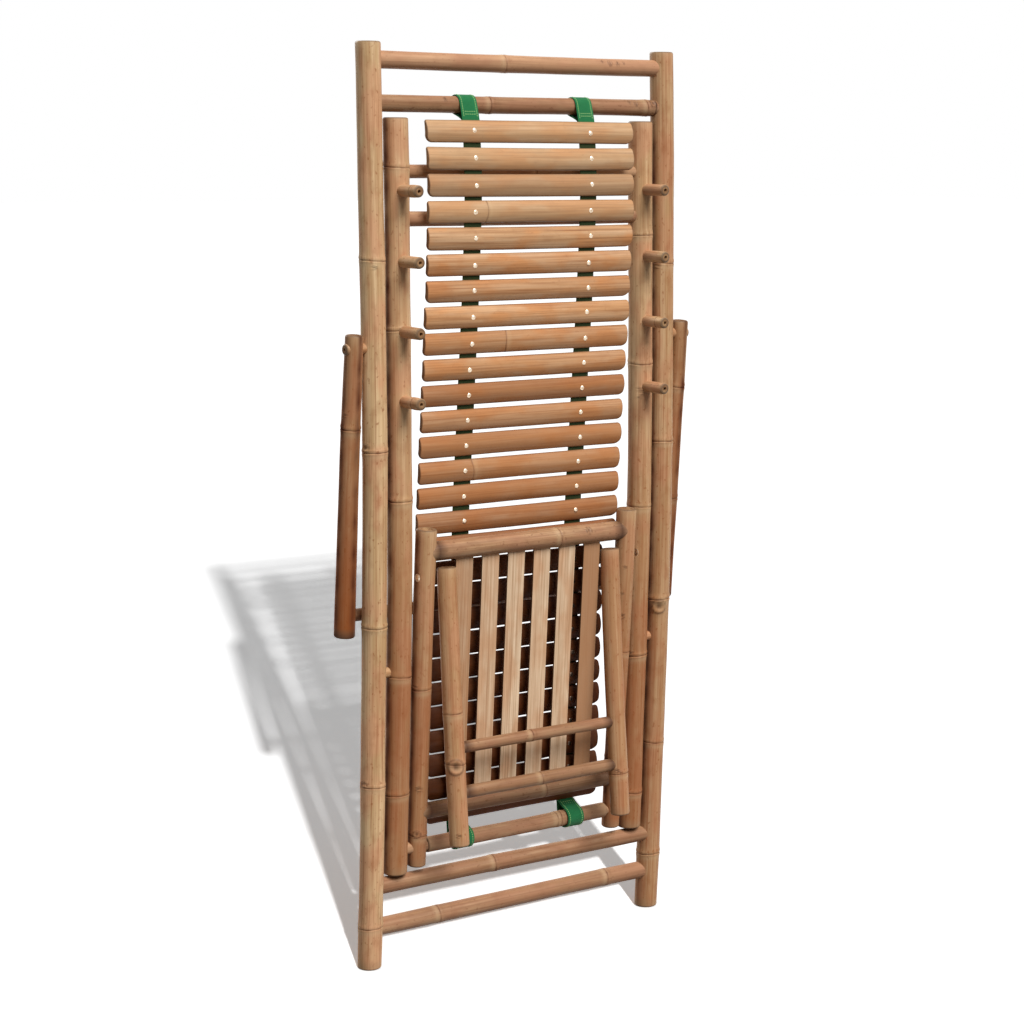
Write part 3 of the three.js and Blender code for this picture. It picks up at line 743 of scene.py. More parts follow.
def stop_peg(x, z, seed):
    """A hollow peg that points forward out of the pole's middle. Every third one shows a node."""
    peg = culm(
        peg_reach,
        peg_radius,
        far_radius=peg_radius * peg_taper,
        nodes=(peg_node,) if seed % 3 == 0 else (),
        seats=(math.sqrt(seat_pole_radius**2 - peg_radius**2) + seat_line,),
        seed=seed,
        sides=24,
        ends=(closed_end, hollow_end),
    )
    return moved(peg, Matrix.Translation((x, bow(z), z)) @ peg_turn)


print("the pegs stand", round((peg_reach - seat_pole_radius) * 1000, 1), "mm out of the poles")

# %% Seat poles
peg_heights = (1.152, 1.052, 0.952, 0.852)
shaded_below = 0.51
seat_poles = {
    "left": {
        "nodes": (0.265, 0.445, 0.707, 0.953, 1.185),
        "scars": ((0.956, 260, 0.004),),
        "tint": (0.07, 0.2, 0.56),
    },
    "right": {
        "nodes": (0.200, 0.425, 0.662, 0.886, 1.082),
        "scars": ((0.430, 215, 0.004), (0.848, 228, 0.003), (0.842, 242, 0.0035), (0.835, 233, 0.0025)),
        "tint": (0.11, 0.1, 0.58),
    },
}
for number, (side, sign) in enumerate(sides):
    looks = seat_poles[side]
    x = sign * seat_pole_x
    shade_bands = ((outward[side], past_foot, past_top), (toward_middle[side], past_foot, shaded_below))
    shape = pole(looks, seat_pole_low, seat_pole_high, seat_pole_radius, 21 + number, shade_bands=shade_bands)
    pegs = [stop_peg(x, z, 30 + 4 * number + i) for i, z in enumerate(peg_heights)]
    shape = joined(bowed(shape, x, seat_pole_low), *pegs)
    dress_pole("seat_pole_" + side, shape, "seat_frame", looks["tint"])
print("seat poles reach up to", seat_pole_high, "m, with", len(peg_heights), "pegs each")

# %% [markdown]
# ## The rails
#
# A rail is a thinner and browner piece of bamboo, let into a drilled hole in each pole. Its ends run on
# to the poles' middles, which hides the joint's inside. Where it goes in, old dirt and shade draw a dark
# ring, which the `seats` of the culm paint on the skin. Each rail takes its height and thickness from its
# solid's own box, and its nodes are given by their place from left to right.

# %% A rail
ridge = 0.0008
seat_ring = 0.0008
along_x = Matrix.Rotation(math.radians(90), 4, "Y")


def box_middle(node):
    """The middle of a solid's box."""
    low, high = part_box(node)
    return (low + high) / 2


def rail_radius(node):
    """The thickness of a rail's solid, less the ridge of a node."""
    low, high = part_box(node)
    return (high.z - low.z) / 2 - ridge


def cross_rail(node, reach, nodes, pole_face, seed, body, tint, scars=(), carried=None):
    """A rail from x = -reach to reach, on the middle line of its solid."""
    shape = culm(
        2 * reach,
        rail_radius(node),
        nodes=[x + reach for x in nodes],
        scars=[(x + reach, angle, size) for x, angle, size in scars],
        seats=(reach - pole_face + seat_ring, reach + pole_face - seat_ring),
        seed=seed,
        sides=28,
    )
    middle = box_middle(node)
    place = carried or Matrix.Translation((0, middle.y, middle.z))
    dress_rail(node, moved(shape, place @ Matrix.Translation((-reach, 0, 0)) @ along_x), body, tint)


print("the head rail is", round(2000 * rail_radius("head_rail"), 1), "mm thick between its nodes")

# %% Rails between the long poles
head_rail_scars = (0.155, 240, 0.004), (0.141, 231, 0.0024), (0.169, 246, 0.003), (0.181, 236, 0.002)
sling_rail_scars = (0.237, 235, 0.006), (0.204, 240, 0.0036), (0.192, 229, 0.0028), (-0.140, 232, 0.003)
back_rails = (
    ("head_rail", (-0.033,), (0, 0.5, 0), head_rail_scars),
    ("sling_top_rail", (-0.061, 0.226), (0.35, 0.1, 0), sling_rail_scars),
    ("foot_rail_upper", (-0.044,), (0.12, 0.2, 0.3), ()),
    ("foot_rail_lower", (-0.144, 0.172), (0.08, 0.3, 0.25), ()),
)
back_face = back_pole_x - back_pole_radius
for number, (node, nodes, tint, scars) in enumerate(back_rails):
    cross_rail(node, back_pole_x, nodes, back_face, 41 + number, "back_frame", tint, scars)
seat_rails = {"seat_cross_rail_upper": 0.02, "seat_cross_rail_lower": -0.08}
seat_face = seat_pole_x - seat_pole_radius
for number, (node, x) in enumerate(seat_rails.items()):
    cross_rail(node, seat_pole_x, (x,), seat_face, 45 + number, "seat_frame", (0.2, 0.2, 0))
print("rails in place:", len(back_rails) + len(seat_rails))

# %% [markdown]
# The two pins that the frames turn on hide in the narrow gaps between the poles, so they only need to be
# whittled bamboo at the right place. The front rail is different from the others: between the footrest's
# poles it has its full thickness, and outside them it is cut down to a rod, on which the footrest swings.

# %% Pivot pins and front rail
pivot_pin_radius = 0.008
pin_depth = 0.0217
front_rail_radius = 0.012
front_rail_reach = 0.1675
hinge_rod_radius = 0.009
footrest_hinge = hinges["footrest_swing"]
for number, (side, sign) in enumerate(sides):
    start = seat_pole_x + seat_pole_radius - pin_depth
    end = back_pole_x - back_pole_radius + pin_depth
    pin = culm(end - start, pivot_pin_radius, seed=51 + number, sides=24)
    middle = sign * (start + end) / 2
    place = Matrix.Translation((middle - (end - start) / 2, pivot.y, pivot.z)) @ along_x
    dress_pole("pivot_pin_" + side, moved(pin, place), "back_frame", (0.35, 0, 0))


def on_hinge(reach, *sizes, **looks):
    """A culm on the footrest's hinge, from x = -reach to reach."""
    place = Matrix.Translation((-reach, footrest_hinge.y, footrest_hinge.z))
    return moved(culm(2 * reach, *sizes, **looks), place @ along_x)


nodes = [front_rail_reach + x for x in (-0.11, 0.070, 0.079)]
thick = on_hinge(front_rail_reach, front_rail_radius, nodes=nodes, seed=53, sides=28)
seats = (seat_pole_x - seat_face, seat_pole_x + seat_face)
rod = on_hinge(seat_pole_x, hinge_rod_radius, seats=seats, seed=54, sides=24)
dress_rail("front_rail", joined(thick, rod), "seat_frame", (0.2, 0.3, 0))
print("the footrest swings at a height of", round(footrest_hinge.z, 4), "m")

# %% [markdown]
# ## The stay
#
# The stay is the strut behind the chair: two short poles outside the back poles, each on its own peg, and
# a thin rail across their feet. It hangs from the pegs and leans back until its rail just lies behind
# the long poles. It is built hanging straight down and turned about the pegs afterwards, which is how
# the real one came to its place. Its poles are browner than the rest and darker low down, partly their
# own tone and partly painted shade, with bands of painted shade down both sides.

# %% Stay
stay_x = 0.294
stay_top_radius, stay_foot_radius = 0.0135, 0.016
stay_top_reach, stay_foot_reach = 0.020, 0.031
stay_drop = 0.392
stay_rail_radius, stay_rail_gap = 0.0095, 0.0003
stay_peg_radius = 0.0085
stay_peg_proud = 0.002
stay_hinge = hinges["stay_swing"]
stay_nodes = {"left": (0.3085,), "right": (0.16, 0.34)}
dark_rim = 0.0035
# Bands of painted shade down both sides of each stay pole.
streaks = ((180, past_foot, past_top), (284, past_foot, past_top))

behind_poles = seat_pole_radius + stay_rail_gap + stay_rail_radius
lean = math.atan2(bow(stay_hinge.z - stay_drop) + behind_poles - bow(stay_hinge.z), stay_drop)
rail_at = stay_drop / math.cos(lean)
stay_place = Matrix.Translation(stay_hinge) @ Matrix.Rotation(lean, 4, "X")
stay_length = stay_top_reach + rail_at + stay_foot_reach
for number, (side, sign) in enumerate(sides):
    shape = culm(
        stay_length,
        stay_foot_radius,
        far_radius=stay_top_radius,
        nodes=stay_nodes[side],
        scars=((0.33, 200, 0.003),),
        seats=(dark_rim,),
        shade_bands=streaks,
        seed=61 + number,
    )
    shape = moved(shape, stay_place @ Matrix.Translation((sign * stay_x, 0, stay_top_reach - stay_length)))
    start = back_pole_x
    end = stay_x + stay_top_radius + stay_peg_proud
    ends = (closed_end, hollow_end) if sign > 0 else (hollow_end, closed_end)
    peg = culm(end - start, stay_peg_radius, seed=63 + number, sides=24, ends=ends)
    low_x = start if sign > 0 else -end
    shape = joined(shape, moved(peg, stay_place @ Matrix.Translation((low_x, 0, 0)) @ along_x))
    dress_pole("stay_pole_" + side, shape, "stay", (0.5, 0.1, 0.55))
carried = stay_place @ Matrix.Translation((0, 0, -rail_at))
stay_face = stay_x - stay_foot_radius
cross_rail("stay_rail", stay_x, (-0.12, 0.12), stay_face, 65, "stay", (0.3, 0.3, 0), (), carried)
print("the stay leans back", round(math.degrees(lean), 1), "degrees")

# %% [markdown]
# ## The sling's slats
#
# A slat is a strip split out of a thick culm: round in front, where the culm's own skin is, and flat
# behind, where the pith is. Its upper corners are nearly square, the lower ones are rounded, and its
# edges are worn. It could be a bevelled box, but the crown of the strip catches the light, so the strip
# is a grid: the outline's half heights come from the corners' circles, the front from the crown's curve,
# and both fall off at the edges by a small quarter circle. No two are alike, so each one gets its own
# length, corners, warp and tone, and some show a node.

# %% The grid of a strip
edge_round = 0.0014
strip_rings = (0, 0.0007, 0.0015, 0.003, 0.006, 0.01)
strip_step, strip_clear = 0.02, 0.004


def strip_places(length, corners, nodes):
    """Where a strip's cross sections lie: close together at its ends and nodes."""
    half = length / 2
    quarter = 1 - np.cos(np.linspace(0, math.pi / 2, 8))
    near = sorted({0.0003, 0.0008, edge_round, *(corner * share for corner in corners for share in quarter)})
    places = [-half + d for d in near] + [half - d for d in near]
    for node in nodes:
        places += [node + side * d for d in strip_rings for side in (-1, 1)]
    plain = np.linspace(-half + max(corners), half - max(corners), max(3, round(length / strip_step)))
    places += [x for x in plain if min(abs(x - other) for other in places) > strip_clear]
    return np.array(sorted({round(x, 6) for x in places}))


def strip_faces(rows, columns):
    """Quads of the front, the back and the rim between them, with the finish that each one shows."""
    count = rows * columns
    at = np.arange(count).reshape(rows, columns)
    front = np.stack([at[:-1, :-1], at[1:, :-1], at[1:, 1:], at[:-1, 1:]], axis=-1).reshape(-1, 4)
    back = front[:, ::-1] + count
    rim = np.concatenate([at[0], at[1:, -1], at[-1, -2::-1], at[-2:0:-1, 0]])
    onward = np.roll(rim, -1)
    sides = np.stack([rim, onward, onward + count, rim + count], axis=-1)
    skins = [0] * len(front) + [1] * len(back) + [2] * len(sides)
    return np.concatenate([front, back, sides]).tolist(), skins


print("a grid of 9 by 17 points has", len(strip_faces(9, 17)[0]), "faces, with its back and rim")

# %% A split strip
slat_thick = 0.008
slat_edge = 0.0022
# The height and length of the front's uneven waves, along the strip and across it.
strip_waves = ((0.00025, 0.13), (0.00015, 0.02))
front_ease_share = 0.6
back_ease, back_ease_share = 0.0006, 0.5
strip_node_waver = 0.0016
strip_grain_step = 5.3
# Profiles of bells by the distance from a strip's node, and from its rim.
strip_node_relief = ((-0.0005, 0, 0.005), (0.0007, 0, 0.0009))
strip_node_dirt = ((0.7, 0, 0.0010),)
strip_node_bloom = ((0.3, 0.005, 0.004),)
strip_rim_stain = ((0.5, 0, 0.0011),)


def strip(length, height, thick, edge, corners, seed, warp=0.0, nodes=(), hollow=0.0006):
    """A strip along X, flat at y = 0 and round towards -Y, with its upper and lower corner radius."""
    phases = np.random.default_rng(seed).uniform(0, TAU, 4)
    half = length / 2
    shares = np.sin(np.linspace(-math.pi / 2, math.pi / 2, 17))
    x, share = np.meshgrid(strip_places(length, corners, nodes), shares, indexing="ij")
    end = half - np.abs(x)
    corner = np.where(share > 0, *corners)
    rounding = np.clip(corner - end, 0, None)
    reach = height / 2 - corner + np.sqrt(np.clip(corner**2 - rounding**2, 0, None))
    v = reach * share
    fall = eased(reach - np.abs(v), edge_round) + eased(end, edge_round)
    crown = (thick - edge) * (1 - (v / (height / 2)) ** 2)
    front = -(edge + crown) + np.minimum(fall, edge * front_ease_share)
    for number, (place, (wave, wave_length)) in enumerate(zip((x, v), strip_waves)):
        front -= wave * np.sin(place / wave_length * TAU + phases[number])
    back = -hollow * (1 - share**2) - np.minimum(fall, back_ease) * back_ease_share
    mark = np.zeros((2, *x.shape, 3))
    for node in nodes:
        past = x - node - strip_node_waver * np.sin(v / height * math.pi + phases[2])
        front += bells(past, strip_node_relief)
        mark[0, ..., 0] += bells(past, strip_node_dirt)
        mark[0, ..., 1] += bells(past, strip_node_bloom)
    mark[0, ..., 2] += bells(np.minimum(end, reach - np.abs(v)), strip_rim_stain)
    sag = warp * (1 - (x / half) ** 2)
    points = np.stack([np.stack([x, y, v + sag], axis=-1) for y in (front, back)]).reshape(-1, 3)
    grain = np.stack([points[:, 1], points[:, 2], points[:, 0] + strip_grain_step * seed], axis=-1)
    return as_shape(points, *strip_faces(*x.shape), grain, np.clip(mark, 0, 1).reshape(-1, 3))


print("a slat is", round(slat_thick * 1000, 1), "mm thick at its crown")

# %% [markdown]
# The sling crosses the joint between the two frames. When the chair opens, its upper part stays with the
# back frame, its lower part goes with the seat frame, and the part between bends softly, as a row of
# slats on webbing does. So slats, rivets and straps ride on neither body.

# %% Where the slats lie
slat_count = 28
long_slat_count = 17


def slat_name(number):
    return f"sling_slat_{number:02d}"


def slat_middle(number):
    """The middle of a slat's flat back, from its solid's box."""
    low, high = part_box(slat_name(number))
    return Vector((0, low.y + slat_thick, (low.z + high.z) / 2))


middles = [slat_middle(number) for number in range(1, slat_count + 1)]


def slat_place(number):
    """The matrix that carries a slat from the origin to its place on the straps."""
    index = number - 1
    above = middles[max(index - 1, 0)]
    below = middles[min(index + 1, slat_count - 1)]
    tilt = math.atan2(below.y - above.y, above.z - below.z)
    return Matrix.Translation(middles[index]) @ Matrix.Rotation(tilt, 4, "X")


print("long slats:", long_slat_count, "and short ones:", slat_count - long_slat_count)

# %% Slats of the sling
slat_height, shaded_slat_height = 0.0326, 0.0350
slat_corners = (0.0035, 0.0085)
slats_with_node = (4, 9, 14, 19, 24)
pale_slats, top_slat_paleness = 4, 0.42
slat_painted_shade = 0.4
length_spread, height_spread, warp_spread = 0.0012, 0.0008, 0.0011
corner_spread = (0.7, 1.3)
node_share = 0.4
rosy_step, rosy_most, rosy_spread = 0.03, 0.4, 0.15
# How much browner each slat is than its skin, by its number from the top. For the upper slats this is
# their own tone. The lower ones, which the footrest shades, are darkened most, with painted shade.
slat_browns = (0.17, 0.17, 0.46, 0.19, 0.05, 0.15, 0.19, 0.0, 0.25, 0.18, 0.5, 0.3, 0.4, 0.36, 0.46, 0.5)
slat_browns += (0.66, 0.8, 0.86, 0.92, 0.87, 0.9, 0.85, 0.92, 0.88, 0.9, 0.86, 0.9)
slat_dice = np.random.default_rng(7)
for number, brown in enumerate(slat_browns, 1):
    name = slat_name(number)
    low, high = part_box(name)
    warp, length_change, node_at, taller = slat_dice.uniform(-1, 1, 4)
    corners = [radius * slat_dice.uniform(*corner_spread) for radius in slat_corners]
    length = high.x - low.x + length_spread * length_change
    height = slat_height if number < long_slat_count else shaded_slat_height
    shape = strip(
        length,
        height + height_spread * taller,
        slat_thick,
        slat_edge,
        corners,
        seed=100 + number,
        warp=warp_spread * warp,
        nodes=(node_at * length * node_share,) if number in slats_with_node else (),
    )
    # The top slats are made paler.
    if number <= pale_slats:
        shape["mark"][:, 1] += top_slat_paleness
    # Painted shade on the lower slats behind the footrest.
    if number > long_slat_count + 1:
        shape["mark"][:, 2] = np.maximum(shape["mark"][:, 2], slat_painted_shade)
    tint = (brown, min(rosy_step * number, rosy_most) + rosy_spread * warp, 0)
    finishes = (slat_skin, pith, cut_end)
    dress(name + "_strip", moved(shape, slat_place(number)), finishes, name, tint=tint)
slat_gap = middles[0].z - middles[1].z - slat_height
print("slats:", slat_count, "with gaps of about", round(slat_gap * 1000, 1), "mm")

# %% [markdown]
# ## The webbing straps
#
# Each strap is one length of woven polypropylene tape. It comes up behind the sling, goes over the top
# rail from the back, runs down behind the slats, passes under and round the front rail and is sewn to its
# own back again. Cloth simulation would change its length, and a tape under tension hangs straight, so it
# is swept along its path: circles round the two rails, joined by the straight runs that touch them, and a
# smooth run through the slats' backs between.

# %% Green webbing
weave_rows = 1 / 0.0017
weave_columns = 1 / 0.0021
# Dark green laid on the tape as painted shade where it runs behind the slats.
strap_shade_green = srgb(34, 42, 8)


def webbing(name):
    """Ribs along the tape and rows across it: the `grain` of a strap holds its width and length."""
    finish, tree, surface = new_finish(name, roughness=0.78)
    place, grain = parts_of(tree, "grain")
    _, mark = parts_of(tree, "mark")
    ribs, rows = (
        maths(tree, "SINE", maths(tree, "MULTIPLY", value, TAU * pitch))
        for value, pitch in ((grain[0], weave_columns), (grain[2], weave_rows))
    )
    cross = maths(tree, "MULTIPLY", ribs, rows)
    height = maths(tree, "ADD", cross, maths(tree, "MULTIPLY", ribs, 0.7))
    faded = clouds(tree, place, 60, 25)
    colour = over(tree, srgb(12, 82, 44), srgb(36, 124, 72), between(tree, height, -1.2, 1.4))
    colour = over(tree, colour, srgb(50, 134, 80), between(tree, faded, 0.5, 0.75, 0, 0.35))
    # The mark's third number lays painted shade on the tape behind the slats.
    plug(tree, surface["Base Color"], over(tree, colour, strap_shade_green, mark[2]))
    emboss(tree, surface, height, strength=0.8, depth=0.00022)
    surface["Specular IOR Level"].default_value = haze
    surface["Sheen Weight"].default_value = 0.1
    surface["Sheen Roughness"].default_value = 0.5
    return finish


green_webbing = webbing("green webbing")
print("the tape shows a row every", round(1000 / weave_rows, 1), "mm")


# %% Runs and loops
loop_step = math.radians(9)


def smooth_run(points, step):
    """A Catmull-Rom curve through the points, with a new point about every step metres."""
    padded = [2 * points[0] - points[1], *points, 2 * points[-1] - points[-2]]
    run = []
    for a, b, c, d in zip(padded, padded[1:], padded[2:], padded[3:]):
        count = max(1, round((c - b).length / step))
        for i in range(count):
            t = i / count
            square = (2 * a - 5 * b + 4 * c - d) * t**2
            cube = (3 * b - a - 3 * c + d) * t**3
            run.append(0.5 * (2 * b + (c - a) * t + square + cube))
    return [*run, points[-1]]


def touch(centre, radius, point, side):
    """The angle where a line from the point touches the circle."""
    arm = point - centre
    return math.atan2(arm.y, arm.x) + side * math.acos(radius / arm.length)


def loop(centre, radius, run_in, run_out):
    """The arc round a rail between two straight runs, over its top and front."""
    start = touch(centre, radius, run_in, 1)
    end = touch(centre, radius, run_out, -1)
    while end < start:
        end += TAU
    count = round((end - start) / loop_step)
    turns = [start + (end - start) * i / count for i in range(count + 1)]
    return [centre + radius * Vector((math.cos(t), math.sin(t))) for t in turns]


print("a straight run of 12 mm has", len(smooth_run([Vector((0, 0)), Vector((0, 0.012))], 0.004)), "points")

# %% The straps' path
strap_x = 0.103
strap_width = 0.030
strap_thick = 0.0016
strap_step = 0.004
strap_gap = 0.0003
slat_seat = 0.0005
loop_slack = 0.0018
tail_length = 0.016

to_strap = strap_thick / 2 + slat_seat
backs = [Vector((middle.y + to_strap, middle.z)) for middle in middles]
out_of_slats = slat_height / 2 + strap_gap
first_run = backs[0] + (backs[0] - backs[1]).normalized() * out_of_slats
last_run = backs[-1] + (backs[-1] - backs[-2]).normalized() * out_of_slats
behind = Vector((strap_thick + strap_gap, 0))
down_tail = Vector((0, tail_length))
arc_grow = strap_gap + strap_thick / 2
sling_rail_z = box_middle("sling_top_rail").z
sling_rail_at = Vector((bow(sling_rail_z), sling_rail_z))
top_loop = loop(sling_rail_at, rail_radius("sling_top_rail") + arc_grow, first_run + behind, first_run)
low_radius = front_rail_radius + arc_grow + loop_slack
low_loop = loop(footrest_hinge.yz, low_radius, last_run, last_run + behind)
strap_path = smooth_run(
    [
        first_run + behind - down_tail,
        first_run + behind,
        *top_loop,
        first_run,
        *backs,
        last_run,
        *low_loop,
        last_run + behind,
        last_run + behind + down_tail,
    ],
    strap_step,
)
strap_length = sum((b - a).length for a, b in zip(strap_path, strap_path[1:]))
print("each strap is", round(strap_length, 3), "m of tape")

# %% Straps
strap_shade_share, strap_shade_fade = 0.95, 0.008
# Each pair is a share of the strap's half width and one of its half thickness. The pairs go over one
# face from edge to edge and back along the other.
strap_section = [(-1.0, 0.0), (-0.985, 0.7), (-0.95, 1.0), (-0.6, 1.0), (-0.2, 1.0), (0.2, 1.0), (0.6, 1.0)]
strap_section += [(0.95, 1.0), (0.985, 0.7), (1.0, 0.0)]
strap_section += [(x, -y) for x, y in reversed(strap_section[1:-1])]


def swept_tape(path, x):
    """The strap's section carried along its path, with ends cut square, and painted shade behind the slats.
    """
    points, grain, mark = [], [], []
    run = 0.0
    for i, point in enumerate(path):
        before, after = path[max(i - 1, 0)], path[min(i + 1, len(path) - 1)]
        along = (after - before).normalized()
        out = Vector((-along.y, along.x))
        run += (point - before).length
        # Painted shade on the tape where it runs behind the slats.
        depth = min(first_run.y - point.y, point.y - last_run.y)
        strap_shade = strap_shade_share * min(max(depth / strap_shade_fade, 0), 1)
        for across, proud in strap_section:
            y, z = point + out * (proud * strap_thick / 2)
            width = across * strap_width / 2
            points.append((x + width, y, z))
            grain.append((width, 0.0, run))
            mark.append((0.0, 0.0, strap_shade))
    ring = len(strap_section)
    ends = [tuple(range(ring))[::-1], tuple(range(len(points) - ring, len(points)))]
    return as_shape(points, tube_faces(len(path), ring) + ends, grain=grain, mark=mark)


for side, sign in sides:
    node = "sling_strap_" + side
    dress(node + "_webbing", swept_tape(strap_path, sign * strap_x), (green_webbing,), node)
print("straps have", len(strap_path), "rings each")

# %% [markdown]
# A pale thread sews each loop shut. It shows as a line of short stitches along both edges of the tape and
# as two rows across it. A bump texture would give flat dots, so every stitch is a small bead of thread
# that lies half sunk in the tape.

# %% One stitch
thread_finish, _, thread_surface = new_finish("sewing thread", roughness=0.7)
thread_surface["Base Color"].default_value = srgb(134, 176, 108)
stitch_length, stitch_radius = 0.0026, 0.0006
stitch_pitch = 0.0034
stitch_edge = 0.0115
row_places = (0.002, 0.006)
bead_sides = 6


def bead(centre, along, out, long_way):
    """A spindle of thread that lies along the tape or across it."""
    sideways = Vector((1, 0, 0))
    axis, other = (along, sideways) if long_way else (sideways, along)
    shares = (-1, -0.55, 0, 0.55, 1)
    points = []
    for share in shares:
        radius = stitch_radius * (0.25 + 0.75 * (1 - share**2))
        for j in range(bead_sides):
            turn = j / bead_sides * TAU
            offset = other * math.cos(turn) * radius * 1.3 + out * math.sin(turn) * radius
            points.append(centre + axis * (share * stitch_length / 2) + offset)
    faces = tube_faces(len(shares), bead_sides)
    faces += [tuple(range(bead_sides))[::-1], tuple(range(len(points) - bead_sides, len(points)))]
    if axis.cross(other).dot(out) < 0:
        faces = [face[::-1] for face in faces]
    return as_shape(points, faces)


print("a stitch is", stitch_length * 1000, "mm long")


# %% Stitches
def sewn(path, x, facing):
    """Stitches down both edges of a stretch of tape, with two rows across its far end."""
    beads = []
    run, due = 0.0, 0.0
    for before, after in zip(path, path[1:]):
        step = after - before
        along = Vector((0, *step.normalized()))
        out = Vector((0, along.z, -along.y)) * facing
        while due < run + step.length:
            y, z = before + step.normalized() * (due - run)
            surface = Vector((x, y, z)) + out * (strap_thick / 2)
            for side in (-1, 1):
                beads.append(bead(surface + Vector((side * stitch_edge, 0, 0)), along, out, True))
            due += stitch_pitch
        run += step.length
    for back_off in row_places:
        for i in range(-2, 3):
            place = surface - along * back_off + Vector((i * stitch_edge / 3, 0, 0))
            beads.append(bead(place, along, out, False))
    return joined(*beads)


top_turn = strap_path.index(max(strap_path, key=lambda point: point.y))
low_turn = strap_path.index(min(strap_path, key=lambda point: point.y))
top_stretch = [point for point in strap_path[top_turn:low_turn] if point.y > first_run.y]
low_stretch = [point for point in strap_path[low_turn:top_turn:-1] if point.y < last_run.y]
for side, sign in sides:
    shape = joined(sewn(top_stretch, sign * strap_x, 1), sewn(low_stretch, sign * strap_x, -1))
    dress("sling_stitches_" + side, shape, (thread_finish,))
print("points of thread on each strap:", len(shape["points"]))

# %% [markdown]
# ## Rivets
#
# Every slat is held to each strap by one small rivet with a domed brass-coloured head, worn to a pale
# shine, and closed behind over a washer. A sphere half sunk in the slat would do from afar. The head is
# a little lathe shape instead: a thin skirt, then a low dome.

# %% Rivet finish and shape
def metal(name, colour, dull):
    """Worn metal, which the same noise dulls and roughens in spots, with painted shade laid over it where its
    mark says.
    """
    finish, tree, surface = new_finish(name, roughness=0.34)
    surface["Metallic"].default_value = 1.0
    place, _ = parts_of(tree, "grain")
    _, mark = parts_of(tree, "mark")
    tarnish = clouds(tree, place, 480, 480)
    tone = over(tree, colour, dull, between(tree, tarnish, 0.45, 0.7, 0, 0.8))
    plug(tree, surface["Base Color"], over(tree, tone, scar_and_shade_brown, mark[2]))
    plug(tree, surface["Roughness"], between(tree, tarnish, 0.3, 0.7, 0.26, 0.5))
    return finish


rivet_metal = metal("rivet metal", srgb(234, 216, 192), srgb(140, 110, 80))
rivet_grain_step = 0.37
# Each pair is a share of the radius and a share of the height.
head_profile = ((1.0, 0.0), (1.0, 0.16), (0.92, 0.34), (0.74, 0.66), (0.48, 0.88), (0.22, 0.98))
washer_profile = ((1.0, 0.0), (1.0, 0.30), (0.94, 0.42), (0.50, 0.42), (0.46, 0.80), (0.30, 1.0))


def button(radius, height, profile, seed, sides=16):
    """A small turned shape that stands on y = 0 and rises towards -Y."""
    angles = np.arange(sides) / sides * TAU
    across, up = radius * np.cos(angles), radius * np.sin(angles)
    rings = [
        np.stack([share * across, np.full(sides, -rise * height), share * up], axis=-1)
        for share, rise in profile
    ]
    points = np.concatenate([*rings, [[0, -profile[-1][1] * height, 0]]])
    last = (len(profile) - 1) * sides
    faces = tube_faces(len(profile), sides)
    faces += [(last + j, last + (j + 1) % sides, len(points) - 1) for j in range(sides)]
    faces.append(tuple(range(sides))[::-1])
    return as_shape(points, faces, grain=points + rivet_grain_step * seed)


print("a rivet head has", len(button(0.004, 0.0015, head_profile, 1)["points"]), "points")

# %% Rivets through the straps
rivet_radius, rivet_height = 0.0038, 0.0017
washer_radius, washer_height = 0.0048, 0.0011
rivet_sink = 0.0004
rivet_nudge = 0.0012
rivet_painted_shade = 0.9
half_turn = Matrix.Rotation(math.pi, 4, "Z")
behind_strap = to_strap + strap_thick / 2
for side, sign in sides:
    rivets = []
    for number in range(1, slat_count + 1):
        nudge_x, nudge_z = slat_dice.uniform(-rivet_nudge, rivet_nudge, 2)
        x = sign * strap_x + nudge_x
        place = slat_place(number)
        head = button(rivet_radius, rivet_height, head_profile, number)
        # Painted shade on the rivets behind the footrest.
        if number > long_slat_count:
            head["mark"][:, 2] = rivet_painted_shade
        rivets.append(moved(head, place @ Matrix.Translation((x, rivet_sink - slat_thick, nudge_z))))
        washer = button(washer_radius, washer_height, washer_profile, number)
        rivets.append(moved(washer, place @ Matrix.Translation((x, behind_strap, nudge_z)) @ half_turn))
    dress("sling_rivets_" + side, joined(*rivets), (rivet_metal,))
print("rivets:", 2 * slat_count)

# %% [markdown]
# ## The footrest
#
# The footrest is a small frame that lies folded up in front of the sling. It is made in a frame of its
# own, upright on the hinge, and one matrix carries all of it to its place with its slight tilt. Its six
# flat slats show the culm's inner side, which is pale, dull and fibrous, so the same strip is used with
# its round side turned away.

# %% Footrest poles
footrest_tilt = math.radians(3.1)
footrest_place = Matrix.Translation(footrest_hinge) @ Matrix.Rotation(footrest_tilt, 4, "X")
footrest_x = 0.183
footrest_foot_radius, footrest_top_radius = 0.0143, 0.016
footrest_foot, footrest_top = -0.0295, 0.488
footrest_shade_band = (0.03, 0.46)
footrest_poles = {
    "left": {
        "nodes": (0.020, 0.247),
        "scars": ((0.024, 235, 0.0055), (0.095, 240, 0.004), (0.252, 200, 0.003)),
        "tint": (-0.1, 0.2, 0.65),
    },
    "right": {
        "nodes": (0.085, 0.260),
        "scars": ((0.320, 232, 0.0045), (0.356, 228, 0.0022), (0.398, 238, 0.0026)),
        "tint": (-0.05, 0.2, 0.72),
    },
}
for number, (side, sign) in enumerate(sides):
    looks = footrest_poles[side]
    shade_bands = ((outward[side], past_foot, past_top), (toward_middle[side], *footrest_shade_band))
    ends = (footrest_foot, footrest_top)
    shape = pole(looks, *ends, footrest_foot_radius, 71 + number, footrest_top_radius, shade_bands)
    shape = moved(shape, footrest_place @ Matrix.Translation((sign * footrest_x, 0, footrest_foot)))
    dress_pole("footrest_pole_" + side, shape, "footrest", looks["tint"])
print("the footrest is", round(footrest_top - footrest_foot, 4), "m long")

